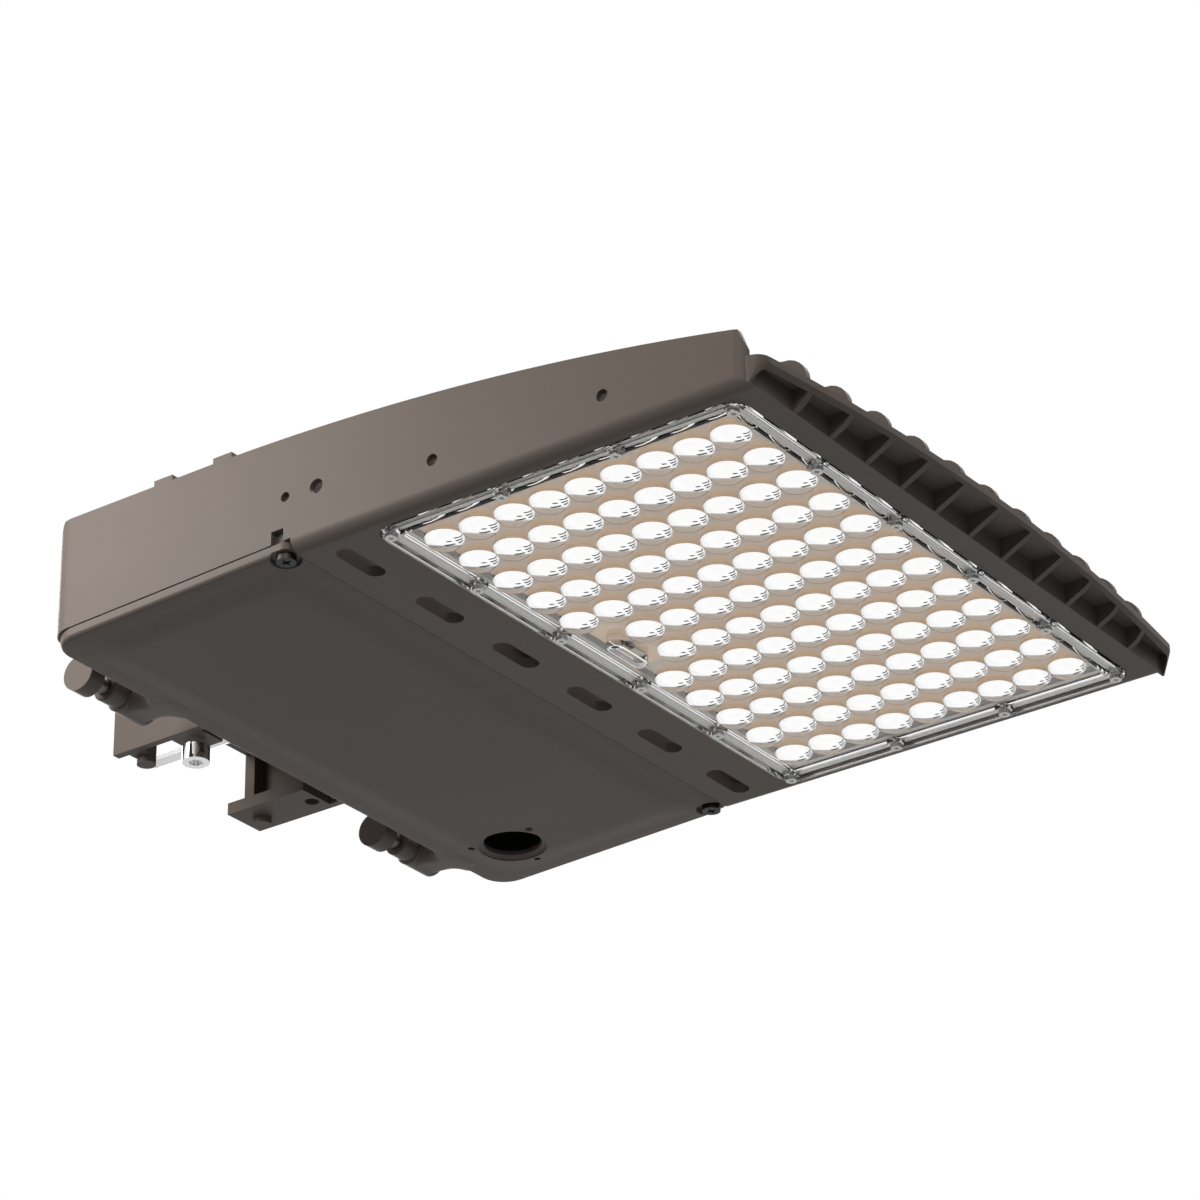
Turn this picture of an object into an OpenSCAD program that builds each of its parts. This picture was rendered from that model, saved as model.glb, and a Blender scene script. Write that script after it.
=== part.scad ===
// Shoebox area light for a square pole.
// +X points away from the pole, +Z points up and the light shines down.
// The origin is on the pole face, midway between the two tie rods.
// Inside this file heights are counted from the flat underside of the housing,
// and at_face() moves every piece down so that the origin lies between the rods.

/* [Housing] */
// Width across the side walls
body_w = 329.5; // [300:0.5:380]
// Pole face to the rear wall of the housing
body_rear = 59.5; // [54:0.5:80]
// Length of the driver compartment, rear wall to seam
box_len = 138.5; // [120:0.5:180]
// Height of the flat roof above the underside
body_top = 57; // [50:0.5:75]
// Thickness of the cast walls
wall = 3.2; // [2.4:0.1:4.5]
// Radius of the long curve that brings the roof down to the nose
crown_r = 1360; // [1100:10:2400]
// Radius of the upright rear corners
corner_r = 12; // [6:0.5:20]

/* [Heat sink] */
// Number of cooling fins along the light
fin_n = 11; // [7:2:13]
// Distance between fins
fin_pitch = 26.5; // [22:0.5:27]
// Thickness of a fin
fin_t = 3; // [2:0.1:4]
// Number of ventilation slots in the underside
vent_n = 6; // [4:1:6]
// Distance between ventilation slots
vent_pitch = 55; // [46:1:60]
// Length of a ventilation slot
vent_len = 29; // [20:1:34]
// Width of a ventilation slot
vent_w = 9; // [6:0.5:12]

/* [Optics] */
// Lenses in a row across the light
lens_cols = 12; // [8:2:12]
// Rows of lenses along the light
lens_rows = 9; // [6:1:9]
// Plain border of the lens plate along its sides
lens_side = 12.25; // [12:0.25:20]
// Plain border of the lens plate along its ends
lens_end = 10.43; // [10:0.01:11]
// Diameter of one lens dome
dome_d = 17.4; // [14:0.1:17.8]
// Height of one lens dome
dome_h = 5; // [3:0.1:6]
// Length of the clear lens plate
lens_len = 187; // [180:0.5:200]
// Width of the clear lens plate
lens_w = 312.5; // [296:0.5:316]
// Thickness of the clear lens plate
lens_t = 2.5; // [2:0.1:3.5]

/* [Nose] */
// Lens plate to the middle of the front edge
nose_len = 29; // [26:0.5:40]
// Radius of the slight bow of the front edge
nose_bow_r = 1150; // [800:10:1600]
// Height of the front bar's top above the underside
nose_top = 12; // [9:0.5:14]

/* [Door] */
// Fall of the door towards the pole, in degrees
door_fall = 1.8; // [0.5:0.1:2.4]
// Depth of the door pan
door_h = 6; // [5:0.1:8]
// Thickness of the door skin
door_skin = 2.8; // [2:0.1:3.5]
// Width of the sloping border round the door
door_bevel = 7; // [4:0.5:9]

/* [Sensor opening] */
// Diameter of the round opening for a sensor
sensor_d = 28; // [20:0.5:32]
// Pitch circle of its three screw holes
sensor_pcd = 40; // [38:0.5:44]
// Diameter of the three screw holes
sensor_screw_d = 3.2; // [2.5:0.1:4]

/* [Hinge] */
// Diameter of the fixed barrels
barrel_d = 17; // [15:0.5:20]
// Length of a fixed barrel
barrel_len = 9; // [6:0.5:12]
// Diameter of the hinge pins
pin_d = 8; // [6:0.5:9]

/* [Arm] */
// Width across the arm's cheeks
arm_w = 106; // [96:1:120]
// Thickness of a cheek
cheek_t = 4; // [3:0.5:6]
// Diameter of the tie rods
rod_d = 6; // [5:0.5:10]
// Distance between the two tie rods
rod_gap = 20; // [18:0.5:24]
// Length of rod that stands out of the pole face
rod_out = 21.5; // [15:0.5:40]
// Diameter of the lock screw's thread
lock_d = 8; // [6:0.5:8]

/* [Hidden] */
$fn = 64;

// One overrun serves every cut
over = 1;
// Clearance between pieces that move past each other
gap = 0.3;
// Radial clearance of a running fit
run = 0.05;
// Sides of the very large curves
bow_steps = 24;
// Points in a rounded outline corner
corner_steps = 6;

// Housing
body_half = body_w / 2;
seam_x = body_rear + box_len;
crown_share = 0.6;
seam_gap = 0.8;
belly_x = seam_x + seam_gap;
crown_x = body_rear + crown_share * box_len;
rear_lean = 4;
wall_in = body_rear + wall + rear_lean;
roof_edge = 3;
floor_t = 5;
landing_w = 9;
landing_t = 3;
shaft_gap = 8;
shaft_len = 18;
vent_x = seam_x + 17.5;
vent_band = 39;
lens_x0 = seam_x + vent_band;
lens_x1 = lens_x0 + lens_len;
lens_cx = (lens_x0 + lens_x1) / 2;
pitch_y = (lens_w - 2 * lens_side) / lens_cols;
pitch_x = (lens_len - 2 * lens_end) / lens_rows;
nose_x = lens_x1 + nose_len;
side_end = lens_x1 + 12;
side_end_top = lens_x1 + 6.5;
belly_r = 6;
side_corner_r = 8;
lens_fit = 0.4;
lens_corner_r = 9;
ledge_w = 11;
ledge_z = 4.2;
pad_z = 8.1;
deck_top = 13;
shaft_x0 = seam_x + shaft_gap;
shaft_x1 = shaft_x0 + shaft_len;
duct_half = 9;
duct_bore_d = 8;
duct_z = 18;
duct_top = 24;
wire_x = lens_cx - (lens_rows - 1) / 2 * pitch_x;
wire_d = 5;

// Roof ribs of the driver compartment
roof_rib_x0 = body_rear + 57.5;
roof_rib_pitch = 34;
roof_rib_len = 10.5;
roof_rib_heights = [5, 5, 1.4];

// Nose
nose_root = lens_x1 + 11.5;
nose_wall = 1.6;
nose_skin = 2;
nose_rise = 9;
nose_corner_r = 7;
nose_half = body_half;
pocket_r = 2;
rib_t = 3;
fin_back = shaft_x1 + 4;
fin_inset = 2;
fin_tip_r = 11;
fin_below = 1;

// Side holes: distance from the seam, height, diameter and depth
shallow = 2.4;
side_hole_shares = [[-0.019, 0.472], [0.105, 0.465]];
side_hole_ds = [4.6, 7];
side_hole_depths = [shallow, wall + over];
shield_hole_shares = [[0.204, 0.32], [0.675, 0.33]];
shield_hole_d = 5.6;

// Door
door_x0 = body_rear + 0.5;
door_len = seam_x - door_x0;
door_half = body_half - 0.4;
door_rear_r = 14;
door_draft = 2;
door_front_r = 5;
door_rim = 12;
seal_w = 5;
seal_t = 1.9;
seal_inset = 4.5;
crown_band = 24;
crown_drop = 1.4;
seat_z = door_h;
door_rear_z = seat_z - door_len * sin(door_fall);
boss_d = 12;
boss_h = 8;
sensor_x = body_rear + 37;
sensor_y = 127;
sensor_rim = 2;
sensor_rim_t = 1;
sensor_angles = [90, 210, 330];
sensor_screw_sink = 1;

// Captive door screws
catch_x = seam_x - 6.5;
catch_y = body_half - 6.5;
catch_bore_d = 14;
catch_head_d = 9;
catch_head_h = 3;
catch_shank_d = 4.8;
catch_len = 15.5;
catch_play = 0.6;
catch_seat = 2.2;
catch_web = 1.4;
catch_end_play = 1.2;
catch_slot = 4.6;
catch_slot_t = 1;
catch_slot_depth = 1.6;
notch_len = 6.7;
notch_top = 12;
retainer_d = 8.4;
retainer_t = 0.8;

// Hinge
hinge_x = body_rear - 19.3;
hinge_z = 6.5;
hinge_ys = [-122.5, 89.5];
knuckle_from = 18;
collar_len = 10;
collar_d = 13.5;
knuckle_len = 20;
knuckle_d = 16;
lug_h = 9;
pin_tail = 1;
pin_ledge = 2;

// Lens plate
rim_w = 6.5;
rim_drop = 1.6;
rim_lip = 1.2;
field_z = 0.9;
screw_inset = 5.6;
rim_cols = 6;
rim_rows = 4;
boss_out_d = 8;
rim_screw_d = 3;
rim_head_d = 5.4;
rim_head_h = 1.8;
rim_screw_len = 9;
rim_boss_drop = 0.9;
pocket_len = 26;
pocket_w = 9;
pocket_drop = 4;
pocket_wall = 1;
gap_cols = [5, 6];
dome_bowl = 1.6;
ball_r = (pow(dome_d / 2, 2) + pow(dome_h, 2)) / (2 * dome_h);
seat_t = ledge_z - field_z - lens_t;

// Light board
board_t = 1.6;
board_edge = 1;
pad_edge = 5;
board_z = pad_z - 0.5 - board_t;
pad_t = 0.5;
chip = 3.4;
chip_t = 0.7;
fix_d = 3;
fix_head_d = 5.2;
fix_head_h = 1.4;
fix_len = 6;
fix_shares = [-0.4167, -0.0833, 0.25];
fix_row_shares = [-0.3889, -0.0556, 0.0556, 0.3889];
plug_y = 3.2;
plug_len = 8;
plug_w = 4;
plug_h = 3;

// Electrical parts in the driver compartment
psu_len = 76;
psu_side_gap = 11.55;
psu_end_y = -10;
psu_w = body_half - wall - psu_side_gap + psu_end_y;
psu_h = 33;
psu_x = body_rear + 28;
psu_y = psu_end_y - psu_w / 2;
psu_foot = 9;
psu_foot_t = 1.6;
psu_post_d = 10;
psu_screw_d = 4;
psu_head_d = 7.6;
psu_head_h = 2.4;
psu_screw_len = 8;
roof_in = body_top - wall;
post_h = 6;
spd_x = seam_x - 40;
spd_len = 27;
spd_w = 48;
spd_h = 24;
spd_r = 3;
spd_top = roof_in - post_h / 2;
strap_t = 1.2;
strap_foot = 10;
strap_w = 12;
strap_screw_len = 4;
term_x = seam_x - 56.5;
term_y = 40;
term_len = 20;
term_w = 36;
term_spd_gap = 14;
spd_y = term_y + term_w / 2 + term_spd_gap + spd_w / 2;
term_h = 16;
term_n = 3;
term_well_d = 5;
term_screw_d = 4.4;
term_well_depth = 3;
block_screw_d = 3;
block_head_d = 4.6;
block_head_h = 2;
block_screw_in = 2.4;
term_z = roof_in - post_h / 2 - term_h / 2;
gnd_x = body_rear + 20;
gnd_y = 42;
gnd_boss_d = 11;
gnd_head_d = 9;
gnd_head_h = 3.4;
gnd_screw_d = 5;
gnd_screw_len = 9;
eyelet_t = 1;
eyelet_rim = 2;

// Leads
lead_d = 4.4;
led_lead_d = 2.8;
ground_lead_d = 3;
bend_share = 1.12;
lead_z = 31;
led_lead_z = 40;
led_lead_turn = 12;

// Arm
arm_len = body_rear - 1;
arm_half = arm_w / 2;
arm_bottom = 3.1;
arm_top = body_top + 2;
web_t = 5;
flange_t = 6;
flange_in = 8;
flat_t = 6;
ledge_in = 24;
lug_len = 18;
lug_in = 19;
lug_t = 9;
lock_x = 41.5;
lock_y = arm_half - 11;
lock_head_d = 13;
lock_head_h = 8;
lock_hex = 6;
lock_hex_depth = 4;
lock_stand = 3.4;
lock_len = 20;
lock_nut_af = 13;
lock_nut_h = 5;
tap_share = 0.85;
foot_d = 9;
foot_x = 11;
foot_drop = 3.6;
rod_low_z = 26;
rod_hole_play = 0.3;
rod_core_d = rod_d - 0.6;
rod_in = 16;
rod_nut_af = 10;
rod_nut_h = 5;
rod_washer_d = 14;
rod_washer_t = 1.4;
rod_seat_len = rod_washer_t + rod_nut_h;
cable_hole_d = 16;
cable_hole_y = 24;
cable_z = 30;
cable_bore_d = 9;
cable_lip = 3;
cable_lip_t = 2;
arm_screw_d = 6;
arm_screw_inset = 10;
arm_screw_y = arm_half - arm_screw_inset;
arm_screw_zs = [18, 45];
arm_screw_head_d = 10;
arm_screw_head_h = 4;
arm_gasket_t = 1;
face_drop = rod_low_z + rod_gap / 2;

// Points along an arc
function arc(c, r, a0, a1, n) =
    [for (i = [0 : n]) c + r * [cos(a0 + (a1 - a0) * i / n), sin(a0 + (a1 - a0) * i / n)]];

// Rounded rectangle from x0 to x1, with one corner radius at each end
function slab(x0, x1, half, r0, r1) = concat(
    arc([x0 + r0, half - r0], r0, 180, 90, corner_steps),
    arc([x1 - r1, half - r1], r1, 90, 0, corner_steps),
    arc([x1 - r1, r1 - half], r1, 0, -90, corner_steps),
    arc([x0 + r0, r0 - half], r0, -90, -180, corner_steps));

// Height of the roof line, and place of the bowed front edge
function crown_z(x) = x < crown_x ? body_top
    : body_top - crown_r + sqrt(pow(crown_r, 2) - pow(x - crown_x, 2));
function front_at(y) = nose_x - nose_bow_r + sqrt(pow(nose_bow_r, 2) - pow(y, 2));
function lens_pos(i, j) = [lens_cx + (i - (lens_rows - 1) / 2) * pitch_x,
    (j - (lens_cols - 1) / 2) * pitch_y];
function is_gap(i, j) = i == 0 && (j == gap_cols[0] || j == gap_cols[1]);
function fin_y(i) = (i - (fin_n - 1) / 2) * fin_pitch;

// Origin between the tie rods
module at_face() translate([0, 0, -face_drop]) children();

// Sloping plane of the door, measured from its front edge at the seam
module on_door() translate([seam_x, 0, seat_z]) rotate([0, -door_fall, 0]) children();

// Upright plate with an outline drawn in X and Z
module side_plate(y0, t) translate([0, y0 + t, 0]) rotate([90, 0, 0]) linear_extrude(t) children();

// Round bar between two points that share two coordinates or lie in any line
module bar(a, b, d) {
    v = b - a;
    l = norm(v);
    translate(a) rotate([0, acos(v[2] / l), atan2(v[1], v[0])]) cylinder(d = d, h = l);
}

// Lead through a list of points, with a slightly swollen bend at each corner
module lead(points, d) {
    for (i = [0 : len(points) - 2]) bar(points[i], points[i + 1], d);
    for (i = [1 : len(points) - 2]) translate(points[i]) sphere(d = d * bend_share, $fn = 24);
}

// Side view of the housing, lowered by a distance from the roof line
module side_view(drop, x0, x1, low) {
    crown_steps = [for (i = [0 : bow_steps]) crown_x + (x1 - crown_x) * i / bow_steps];
    polygon(concat(
        [[x0, low], [x0 + rear_lean * (body_top - drop) / body_top, body_top - drop - roof_edge],
         [x0 + rear_lean + roof_edge, body_top - drop]],
        [for (x = crown_steps) [x, crown_z(x) - drop]],
        [[side_end, nose_top - drop], [side_end, low]]));
}

// Outer block of the housing, cut by the roof line and the sloping seam
module body_block() {
    intersection() {
        linear_extrude(body_top + over)
            polygon(slab(body_rear, side_end, body_half, corner_r, side_corner_r));
        side_plate(-body_half - over, body_w + 2 * over)
            side_view(0, body_rear, side_end_top, -over);
    }
}

// Soft lower edge along a side of the lens section
module belly_cutter(side) {
    y0 = side * (body_half - belly_r);
    translate([belly_x - over, 0, 0]) rotate([90, 0, 90])
        linear_extrude(side_end - belly_x + 2 * over)
            polygon(concat(
                [[side * (body_half + over), belly_r], [side * (body_half + over), -over],
                 [y0, -over]],
                arc([y0, belly_r], belly_r, -90, side > 0 ? 0 : -180, corner_steps)));
}

// Driver compartment, open at the sloping seam
module driver_room() {
    intersection() {
        translate([0, 0, seat_z + landing_t]) linear_extrude(body_top)
            polygon(slab(body_rear + wall + rear_lean, shaft_x0 - wall, body_half - wall,
                corner_r - wall, wall));
        side_plate(-body_half, body_w)
            side_view(wall, body_rear + wall, side_end_top, -over);
    }
    on_door() translate([0, 0, -over]) linear_extrude(seat_z + landing_t + 2 * over)
        polygon(slab(door_x0 + wall + landing_w - seam_x, -landing_w, body_half - wall - landing_w,
            corner_r, wall));
}

// Air shaft between the compartment and the heat sink
module air_shaft() translate([shaft_x0, wall - body_half, floor_t])
    cube([shaft_len, body_w - 2 * wall, body_top]);

// Bridge across the air shaft that carries the lead to the light board
module wire_bridge() translate([shaft_x0 - wall / 2, -duct_half, floor_t - over])
    cube([wire_x + duct_half - shaft_x0 + wall / 2, 2 * duct_half, duct_top - floor_t + over]);

// Flat pad on the leaning rear wall, which the arm is screwed to
module arm_pad() translate([body_rear, -arm_half, rod_low_z - rod_washer_d])
    cube([rear_lean + wall, arm_w, body_top - 2 * roof_edge - rod_low_z + rod_washer_d]);

module vent_slot(y) {
    flat = vent_len - vent_w;
    translate([vent_x, y, -over]) linear_extrude(floor_t + 2 * over) union() {
        translate([-vent_w / 2, -flat / 2]) square([vent_w, flat]);
        for (s = [-1, 1]) translate([0, s * flat / 2]) circle(d = vent_w);
    }
}

// Upright cooling fin with a rounded front end
module fin(y) {
    tip = front_at(abs(y) + fin_t / 2) - fin_inset;
    top = crown_z(tip - fin_tip_r) - fin_below;
    steps = [for (i = [0 : bow_steps])
        fin_back + (tip - fin_tip_r - fin_back) * i / bow_steps];
    side_plate(y - fin_t / 2, fin_t) polygon(concat(
        [[fin_back, deck_top - over]],
        [for (x = steps) [x, crown_z(x) - fin_below]],
        arc([tip - fin_tip_r, top - fin_tip_r], fin_tip_r, 90, 0, corner_steps),
        [[tip, nose_top - over], [side_end, nose_top - over], [nose_root, deck_top - over]]));
}

// Plan of the nose bar with its bowed front edge
module nose_plan(inset) {
    half = nose_half - inset;
    r = nose_corner_r - inset;
    end_x = front_at(half - r) - inset;
    back_x = min(nose_root, end_x - r) - over;
    polygon(concat(
        [[back_x, -half]],
        arc([end_x - r, r - half], r, -90, -20, corner_steps),
        [for (i = [0 : bow_steps]) let (y = (half - r) * (2 * i / bow_steps - 1))
            [front_at(y) - inset, y]],
        arc([end_x - r, half - r], r, 20, 90, corner_steps),
        [[back_x, half]]));
}

// Front bar with its open pockets and the ribs between them
module nose() {
    difference() {
        // Bar whose underside rises from its root to the bowed front edge
        hull() {
            translate([0, 0, nose_rise]) linear_extrude(nose_top - nose_rise) nose_plan(0);
            translate([nose_root - over, -nose_half, 0]) cube([over, 2 * nose_half, nose_top]);
        }
        difference() {
            translate([0, 0, -over]) linear_extrude(nose_top - nose_skin + over)
                intersection() {
                    nose_plan(nose_wall);
                    translate([nose_root, -nose_half]) square([nose_len * 2, 2 * nose_half]);
                }
            for (i = [0 : fin_n - 1])
                translate([nose_root - over, fin_y(i) - rib_t / 2, -2 * over])
                    cube([nose_len * 2, rib_t, nose_top * 2]);
        }
    }
}

// Fixed hinge barrel on a lug that reaches back from the rear wall
module barrel(y) {
    translate([hinge_x, y, hinge_z]) rotate([-90, 0, 0]) cylinder(d = barrel_d, h = barrel_len);
    translate([hinge_x, y, hinge_z])
        cube([body_rear + rear_lean + wall - hinge_x, barrel_len, lug_h]);
}

module lens_places() {
    for (i = [0 : lens_rows - 1], j = [0 : lens_cols - 1])
        if (!is_gap(i, j)) translate(lens_pos(i, j)) children();
}

// Screws round the rim of the lens plate
module rim_places() {
    dx = lens_len / 2 - screw_inset;
    dy = lens_w / 2 - screw_inset;
    for (j = [0 : rim_cols - 1], s = [-1, 1])
        translate([lens_cx + s * dx, dy * (2 * j / (rim_cols - 1) - 1)]) children();
    for (i = [1 : rim_rows - 2], s = [-1, 1])
        translate([lens_cx + dx * (2 * i / (rim_rows - 1) - 1), s * dy]) children();
}

// Screws that hold the light board to the heat sink, between the lenses
module fix_places() {
    for (a = fix_shares, b = fix_row_shares)
        translate([lens_cx + b * lens_rows * pitch_x, a * lens_cols * pitch_y + pitch_y])
            children();
}

module rod_places() {
    for (i = [0, 1]) translate([0, 0, rod_low_z + i * rod_gap]) children();
}

module arm_screw_places() {
    for (s = [-1, 1], z = arm_screw_zs) translate([0, s * arm_screw_y, z]) children();
}

module psu_places() {
    for (s = [-1, 1], e = [0, 1])
        translate([psu_x + psu_len / 2 + (e - 0.5) * psu_len / 2,
            psu_y + s * (psu_w / 2 + psu_foot / 2)]) children();
}

module strap_places() {
    for (s = [-1, 1])
        translate([spd_x + spd_len / 2, spd_y + s * (spd_w / 2 + strap_foot / 2)]) children();
}

// Fixings of the terminal block, midway between its wire wells
module block_places() {
    for (s = [-1, 1]) translate([term_x, term_y + s * term_w / term_n / 2]) children();
}

module catch_place(side) translate([catch_x, side * catch_y, 0]) children();

// Cast aluminium housing: driver compartment, heat sink, fins and nose in one
module housing() color("#5b554f") at_face() difference() {
    union() {
        difference() {
            body_block();
            on_door() translate([-box_len * 2, -body_w, -body_top])
                cube([box_len * 2, body_w * 2, body_top]);
            translate([seam_x - over, -body_w, -over]) cube([seam_gap + over, body_w * 2, seat_z + over]);
            for (s = [-1, 1]) belly_cutter(s);
            driver_room();
            air_shaft();
            // Open trough above the deck, where the fins stand
            translate([shaft_x1, wall - body_half, deck_top])
                cube([nose_x, body_w - 2 * wall, body_top]);
        }
        for (i = [0 : fin_n - 1]) fin(fin_y(i));
        nose();
        wire_bridge();
        arm_pad();
        for (k = [0 : len(roof_rib_heights) - 1])
            translate([roof_rib_x0 + k * roof_rib_pitch, -body_half + wall, body_top - wall / 2])
                cube([roof_rib_len, body_w - 2 * wall, wall / 2 + roof_rib_heights[k]
                    - (body_top - crown_z(roof_rib_x0 + k * roof_rib_pitch))]);
        for (y = hinge_ys) barrel(y);
        for (s = [-1, 1]) catch_place(s) translate([0, 0, seat_z])
            cylinder(d = boss_d, h = boss_h + landing_t);
        // Posts for the driver, the terminal block and the ground screw
        psu_places() translate([0, 0, roof_in - post_h]) cylinder(d = psu_post_d, h = post_h + wall / 2);
        translate([gnd_x, gnd_y, roof_in - post_h]) cylinder(d = gnd_boss_d, h = post_h + wall / 2);
        translate([term_x - term_len / 2, term_y - term_w / 2, roof_in - post_h / 2])
            cube([term_len, term_w, post_h / 2 + wall / 2]);
        translate([spd_x, spd_y - spd_w / 2 - strap_foot, spd_top])
            cube([spd_len, spd_w + 2 * strap_foot, post_h / 2 + wall / 2]);
    }
    // Recess of the lens plate and the pocket of the light board
    translate([0, 0, -over]) linear_extrude(ledge_z + over)
        polygon(slab(lens_x0 - lens_fit, lens_x1 + lens_fit, lens_w / 2 + lens_fit,
            lens_corner_r, lens_corner_r));
    linear_extrude(pad_z)
        polygon(slab(lens_x0 + ledge_w, lens_x1 - ledge_w, lens_w / 2 - ledge_w, wall, wall));
    for (j = [0 : vent_n - 1]) vent_slot((j - (vent_n - 1) / 2) * vent_pitch);
    // Lead duct from the compartment, and its drop to the light board
    translate([shaft_x0 - wall - over, 0, duct_z]) rotate([0, 90, 0])
        cylinder(d = duct_bore_d, h = wire_x - shaft_x0 + wall + over);
    translate([wire_x, 0, pad_z - over]) cylinder(d = wire_d, h = duct_z - pad_z + over + wire_d / 2);
    rim_places() translate([0, 0, ledge_z - over])
        cylinder(d = rim_screw_d, h = rim_screw_len - seat_t);
    fix_places() translate([0, 0, pad_z - over]) cylinder(d = fix_d, h = fix_len - over);
    // Side holes
    for (s = [-1, 1]) {
        for (k = [0, 1]) translate([seam_x + side_hole_shares[k][0] * box_len,
            s * (body_half + over), side_hole_shares[k][1] * body_top])
            rotate([s * 90, 0, 0]) cylinder(d = side_hole_ds[k], h = side_hole_depths[k] + over);
        for (k = [0, 1]) translate([lens_x0 + shield_hole_shares[k][0] * lens_len,
            s * (body_half + over), shield_hole_shares[k][1] * body_top])
            rotate([s * 90, 0, 0]) cylinder(d = shield_hole_d, h = shallow + over);
        // Notch over the captive screw, and the tapped hole that takes it
        translate([catch_x - notch_len / 2, s > 0 ? body_half - wall : -body_half - over, -over])
            cube([notch_len, wall + over, notch_top + over]);
        catch_place(s) cylinder(d = catch_shank_d + 2 * catch_play, h = seat_z + boss_h + catch_end_play);
    }
    // Rear wall: tie rods, arm screws and supply cable
    rod_places() translate([body_rear - over, 0, 0]) rotate([0, 90, 0])
        cylinder(d = rod_d + 2 * rod_hole_play, h = wall + rear_lean + 2 * over);
    rod_places() translate([wall_in, 0, 0]) rotate([0, 90, 0])
        cylinder(d = rod_washer_d + 2 * gap, h = rod_seat_len);
    arm_screw_places() translate([body_rear - over, 0, 0]) rotate([0, 90, 0])
        cylinder(d = arm_screw_d, h = wall + rear_lean + 2 * over);
    translate([body_rear - over, cable_hole_y, cable_z]) rotate([0, 90, 0])
        cylinder(d = cable_hole_d, h = wall + rear_lean + 2 * over);
    for (y = hinge_ys) translate([hinge_x, y + pin_ledge, hinge_z]) rotate([-90, 0, 0])
        cylinder(d = pin_d, h = barrel_len + over);
    psu_places() translate([0, 0, roof_in - post_h - over]) cylinder(d = psu_screw_d, h = post_h + over);
    translate([gnd_x, gnd_y, roof_in - post_h - over]) cylinder(d = gnd_screw_d, h = post_h + over);
    strap_places() translate([0, 0, spd_top - over]) cylinder(d = psu_screw_d, h = post_h / 2 + over);
    block_places() translate([0, 0, roof_in - post_h / 2 - over])
        cylinder(d = block_screw_d, h = post_h / 2 + over);
}

// Rounded arm and knuckle of the door at one hinge
module knuckle(y) {
    y0 = y + knuckle_from;
    translate([hinge_x, y0, hinge_z]) rotate([-90, 0, 0])
        cylinder(d = collar_d, h = collar_len + over);
    translate([hinge_x, y0 + collar_len, hinge_z]) rotate([-90, 0, 0])
        cylinder(d = knuckle_d, h = knuckle_len);
    side_plate(y0 + collar_len, knuckle_len) polygon([
        [hinge_x, hinge_z - knuckle_d / 2], [door_x0 + door_bevel, -door_h / 2],
        [door_x0 + door_bevel, door_rear_z - 2 * gap], [door_x0 - over, door_rear_z - 2 * gap],
        [door_x0 - door_bevel, hinge_z], [hinge_x, hinge_z]]);
}

// Hinged door under the driver compartment
module driver_door() color("#413f3c") at_face() difference() {
    union() {
        on_door() difference() {
            union() {
                hull() {
                    translate([0, 0, -2 * gap]) linear_extrude(gap)
                        polygon(slab(-door_len, 0, door_half, door_rear_r, door_front_r));
                    translate([0, 0, -door_h]) linear_extrude(gap)
                        polygon(slab(door_draft - door_len, -gap, door_half - door_draft,
                            door_rear_r - door_draft, door_front_r));
                }
                // Crowned middle panel
                hull() {
                    translate([0, 0, -door_h]) linear_extrude(gap)
                        polygon(slab(door_bevel - door_len, -door_bevel, door_half - door_bevel,
                            door_rear_r - door_bevel, door_front_r));
                    translate([0, 0, -door_h - crown_drop]) linear_extrude(gap)
                        polygon(slab(crown_band / 2 - door_len, -crown_band, door_half - crown_band,
                            door_rear_r - door_bevel, door_front_r));
                }
            }
            // Hollow of the pan, and the groove of its seal
            translate([0, 0, -door_h + door_skin]) linear_extrude(door_h)
                polygon(slab(door_rim + wall - door_len, -door_rim, door_half - door_rim - wall,
                    corner_r, door_front_r));
            translate([0, 0, -gap - seal_t]) linear_extrude(door_h) door_seal_plan(0);
        }
        for (y = hinge_ys) knuckle(y);
    }
    for (y = hinge_ys) translate([hinge_x, y, hinge_z]) rotate([-90, 0, 0])
        cylinder(d = pin_d + 2 * run, h = knuckle_from + collar_len + knuckle_len + over);
    // Sensor opening with a sunk rim and three screw holes
    translate([sensor_x, sensor_y, 0]) rotate([0, -door_fall, 0]) {
        translate([0, 0, -door_h * 3]) cylinder(d = sensor_d, h = door_h * 6);
        translate([0, 0, -door_h * 3]) cylinder(d = sensor_d + 2 * sensor_rim,
            h = door_h * 3 - sensor_drop() + sensor_rim_t);
        for (a = sensor_angles) rotate([0, 0, a]) translate([sensor_pcd / 2, 0, -door_h * 3])
            cylinder(d = sensor_screw_d, h = door_h * 6);
    }
    // Counterbores of the captive screws
    for (s = [-1, 1]) catch_place(s) {
        translate([0, 0, -door_h]) cylinder(d = catch_bore_d, h = door_h + catch_seat);
        cylinder(d = catch_shank_d + catch_play, h = door_h * 2);
        translate([0, 0, catch_seat + catch_web]) cylinder(d = retainer_d + 4 * gap, h = door_h);
    }
}

// Depth of the door's outer face below the housing's underside at the sensor
function sensor_drop() = (seam_x - sensor_x) * tan(door_fall) - seat_z + door_h + crown_drop;

module door_seal_plan(inset) {
    difference() {
        polygon(slab(wall + seal_inset + inset - door_len, -seal_inset - inset,
            door_half - wall - seal_inset - inset, corner_r, door_front_r));
        polygon(slab(wall + seal_inset + seal_w - inset - door_len, -seal_inset - seal_w + inset,
            door_half - wall - seal_inset - seal_w + inset, corner_r, door_front_r));
    }
}

module door_gasket() color("#2a2a2a") at_face() difference() {
    on_door() translate([0, 0, -gap - seal_t]) linear_extrude(seal_t) door_seal_plan(0);
    for (s = [-1, 1]) catch_place(s) cylinder(d = catch_bore_d + 2 * gap, h = door_h * 3);
}

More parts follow.
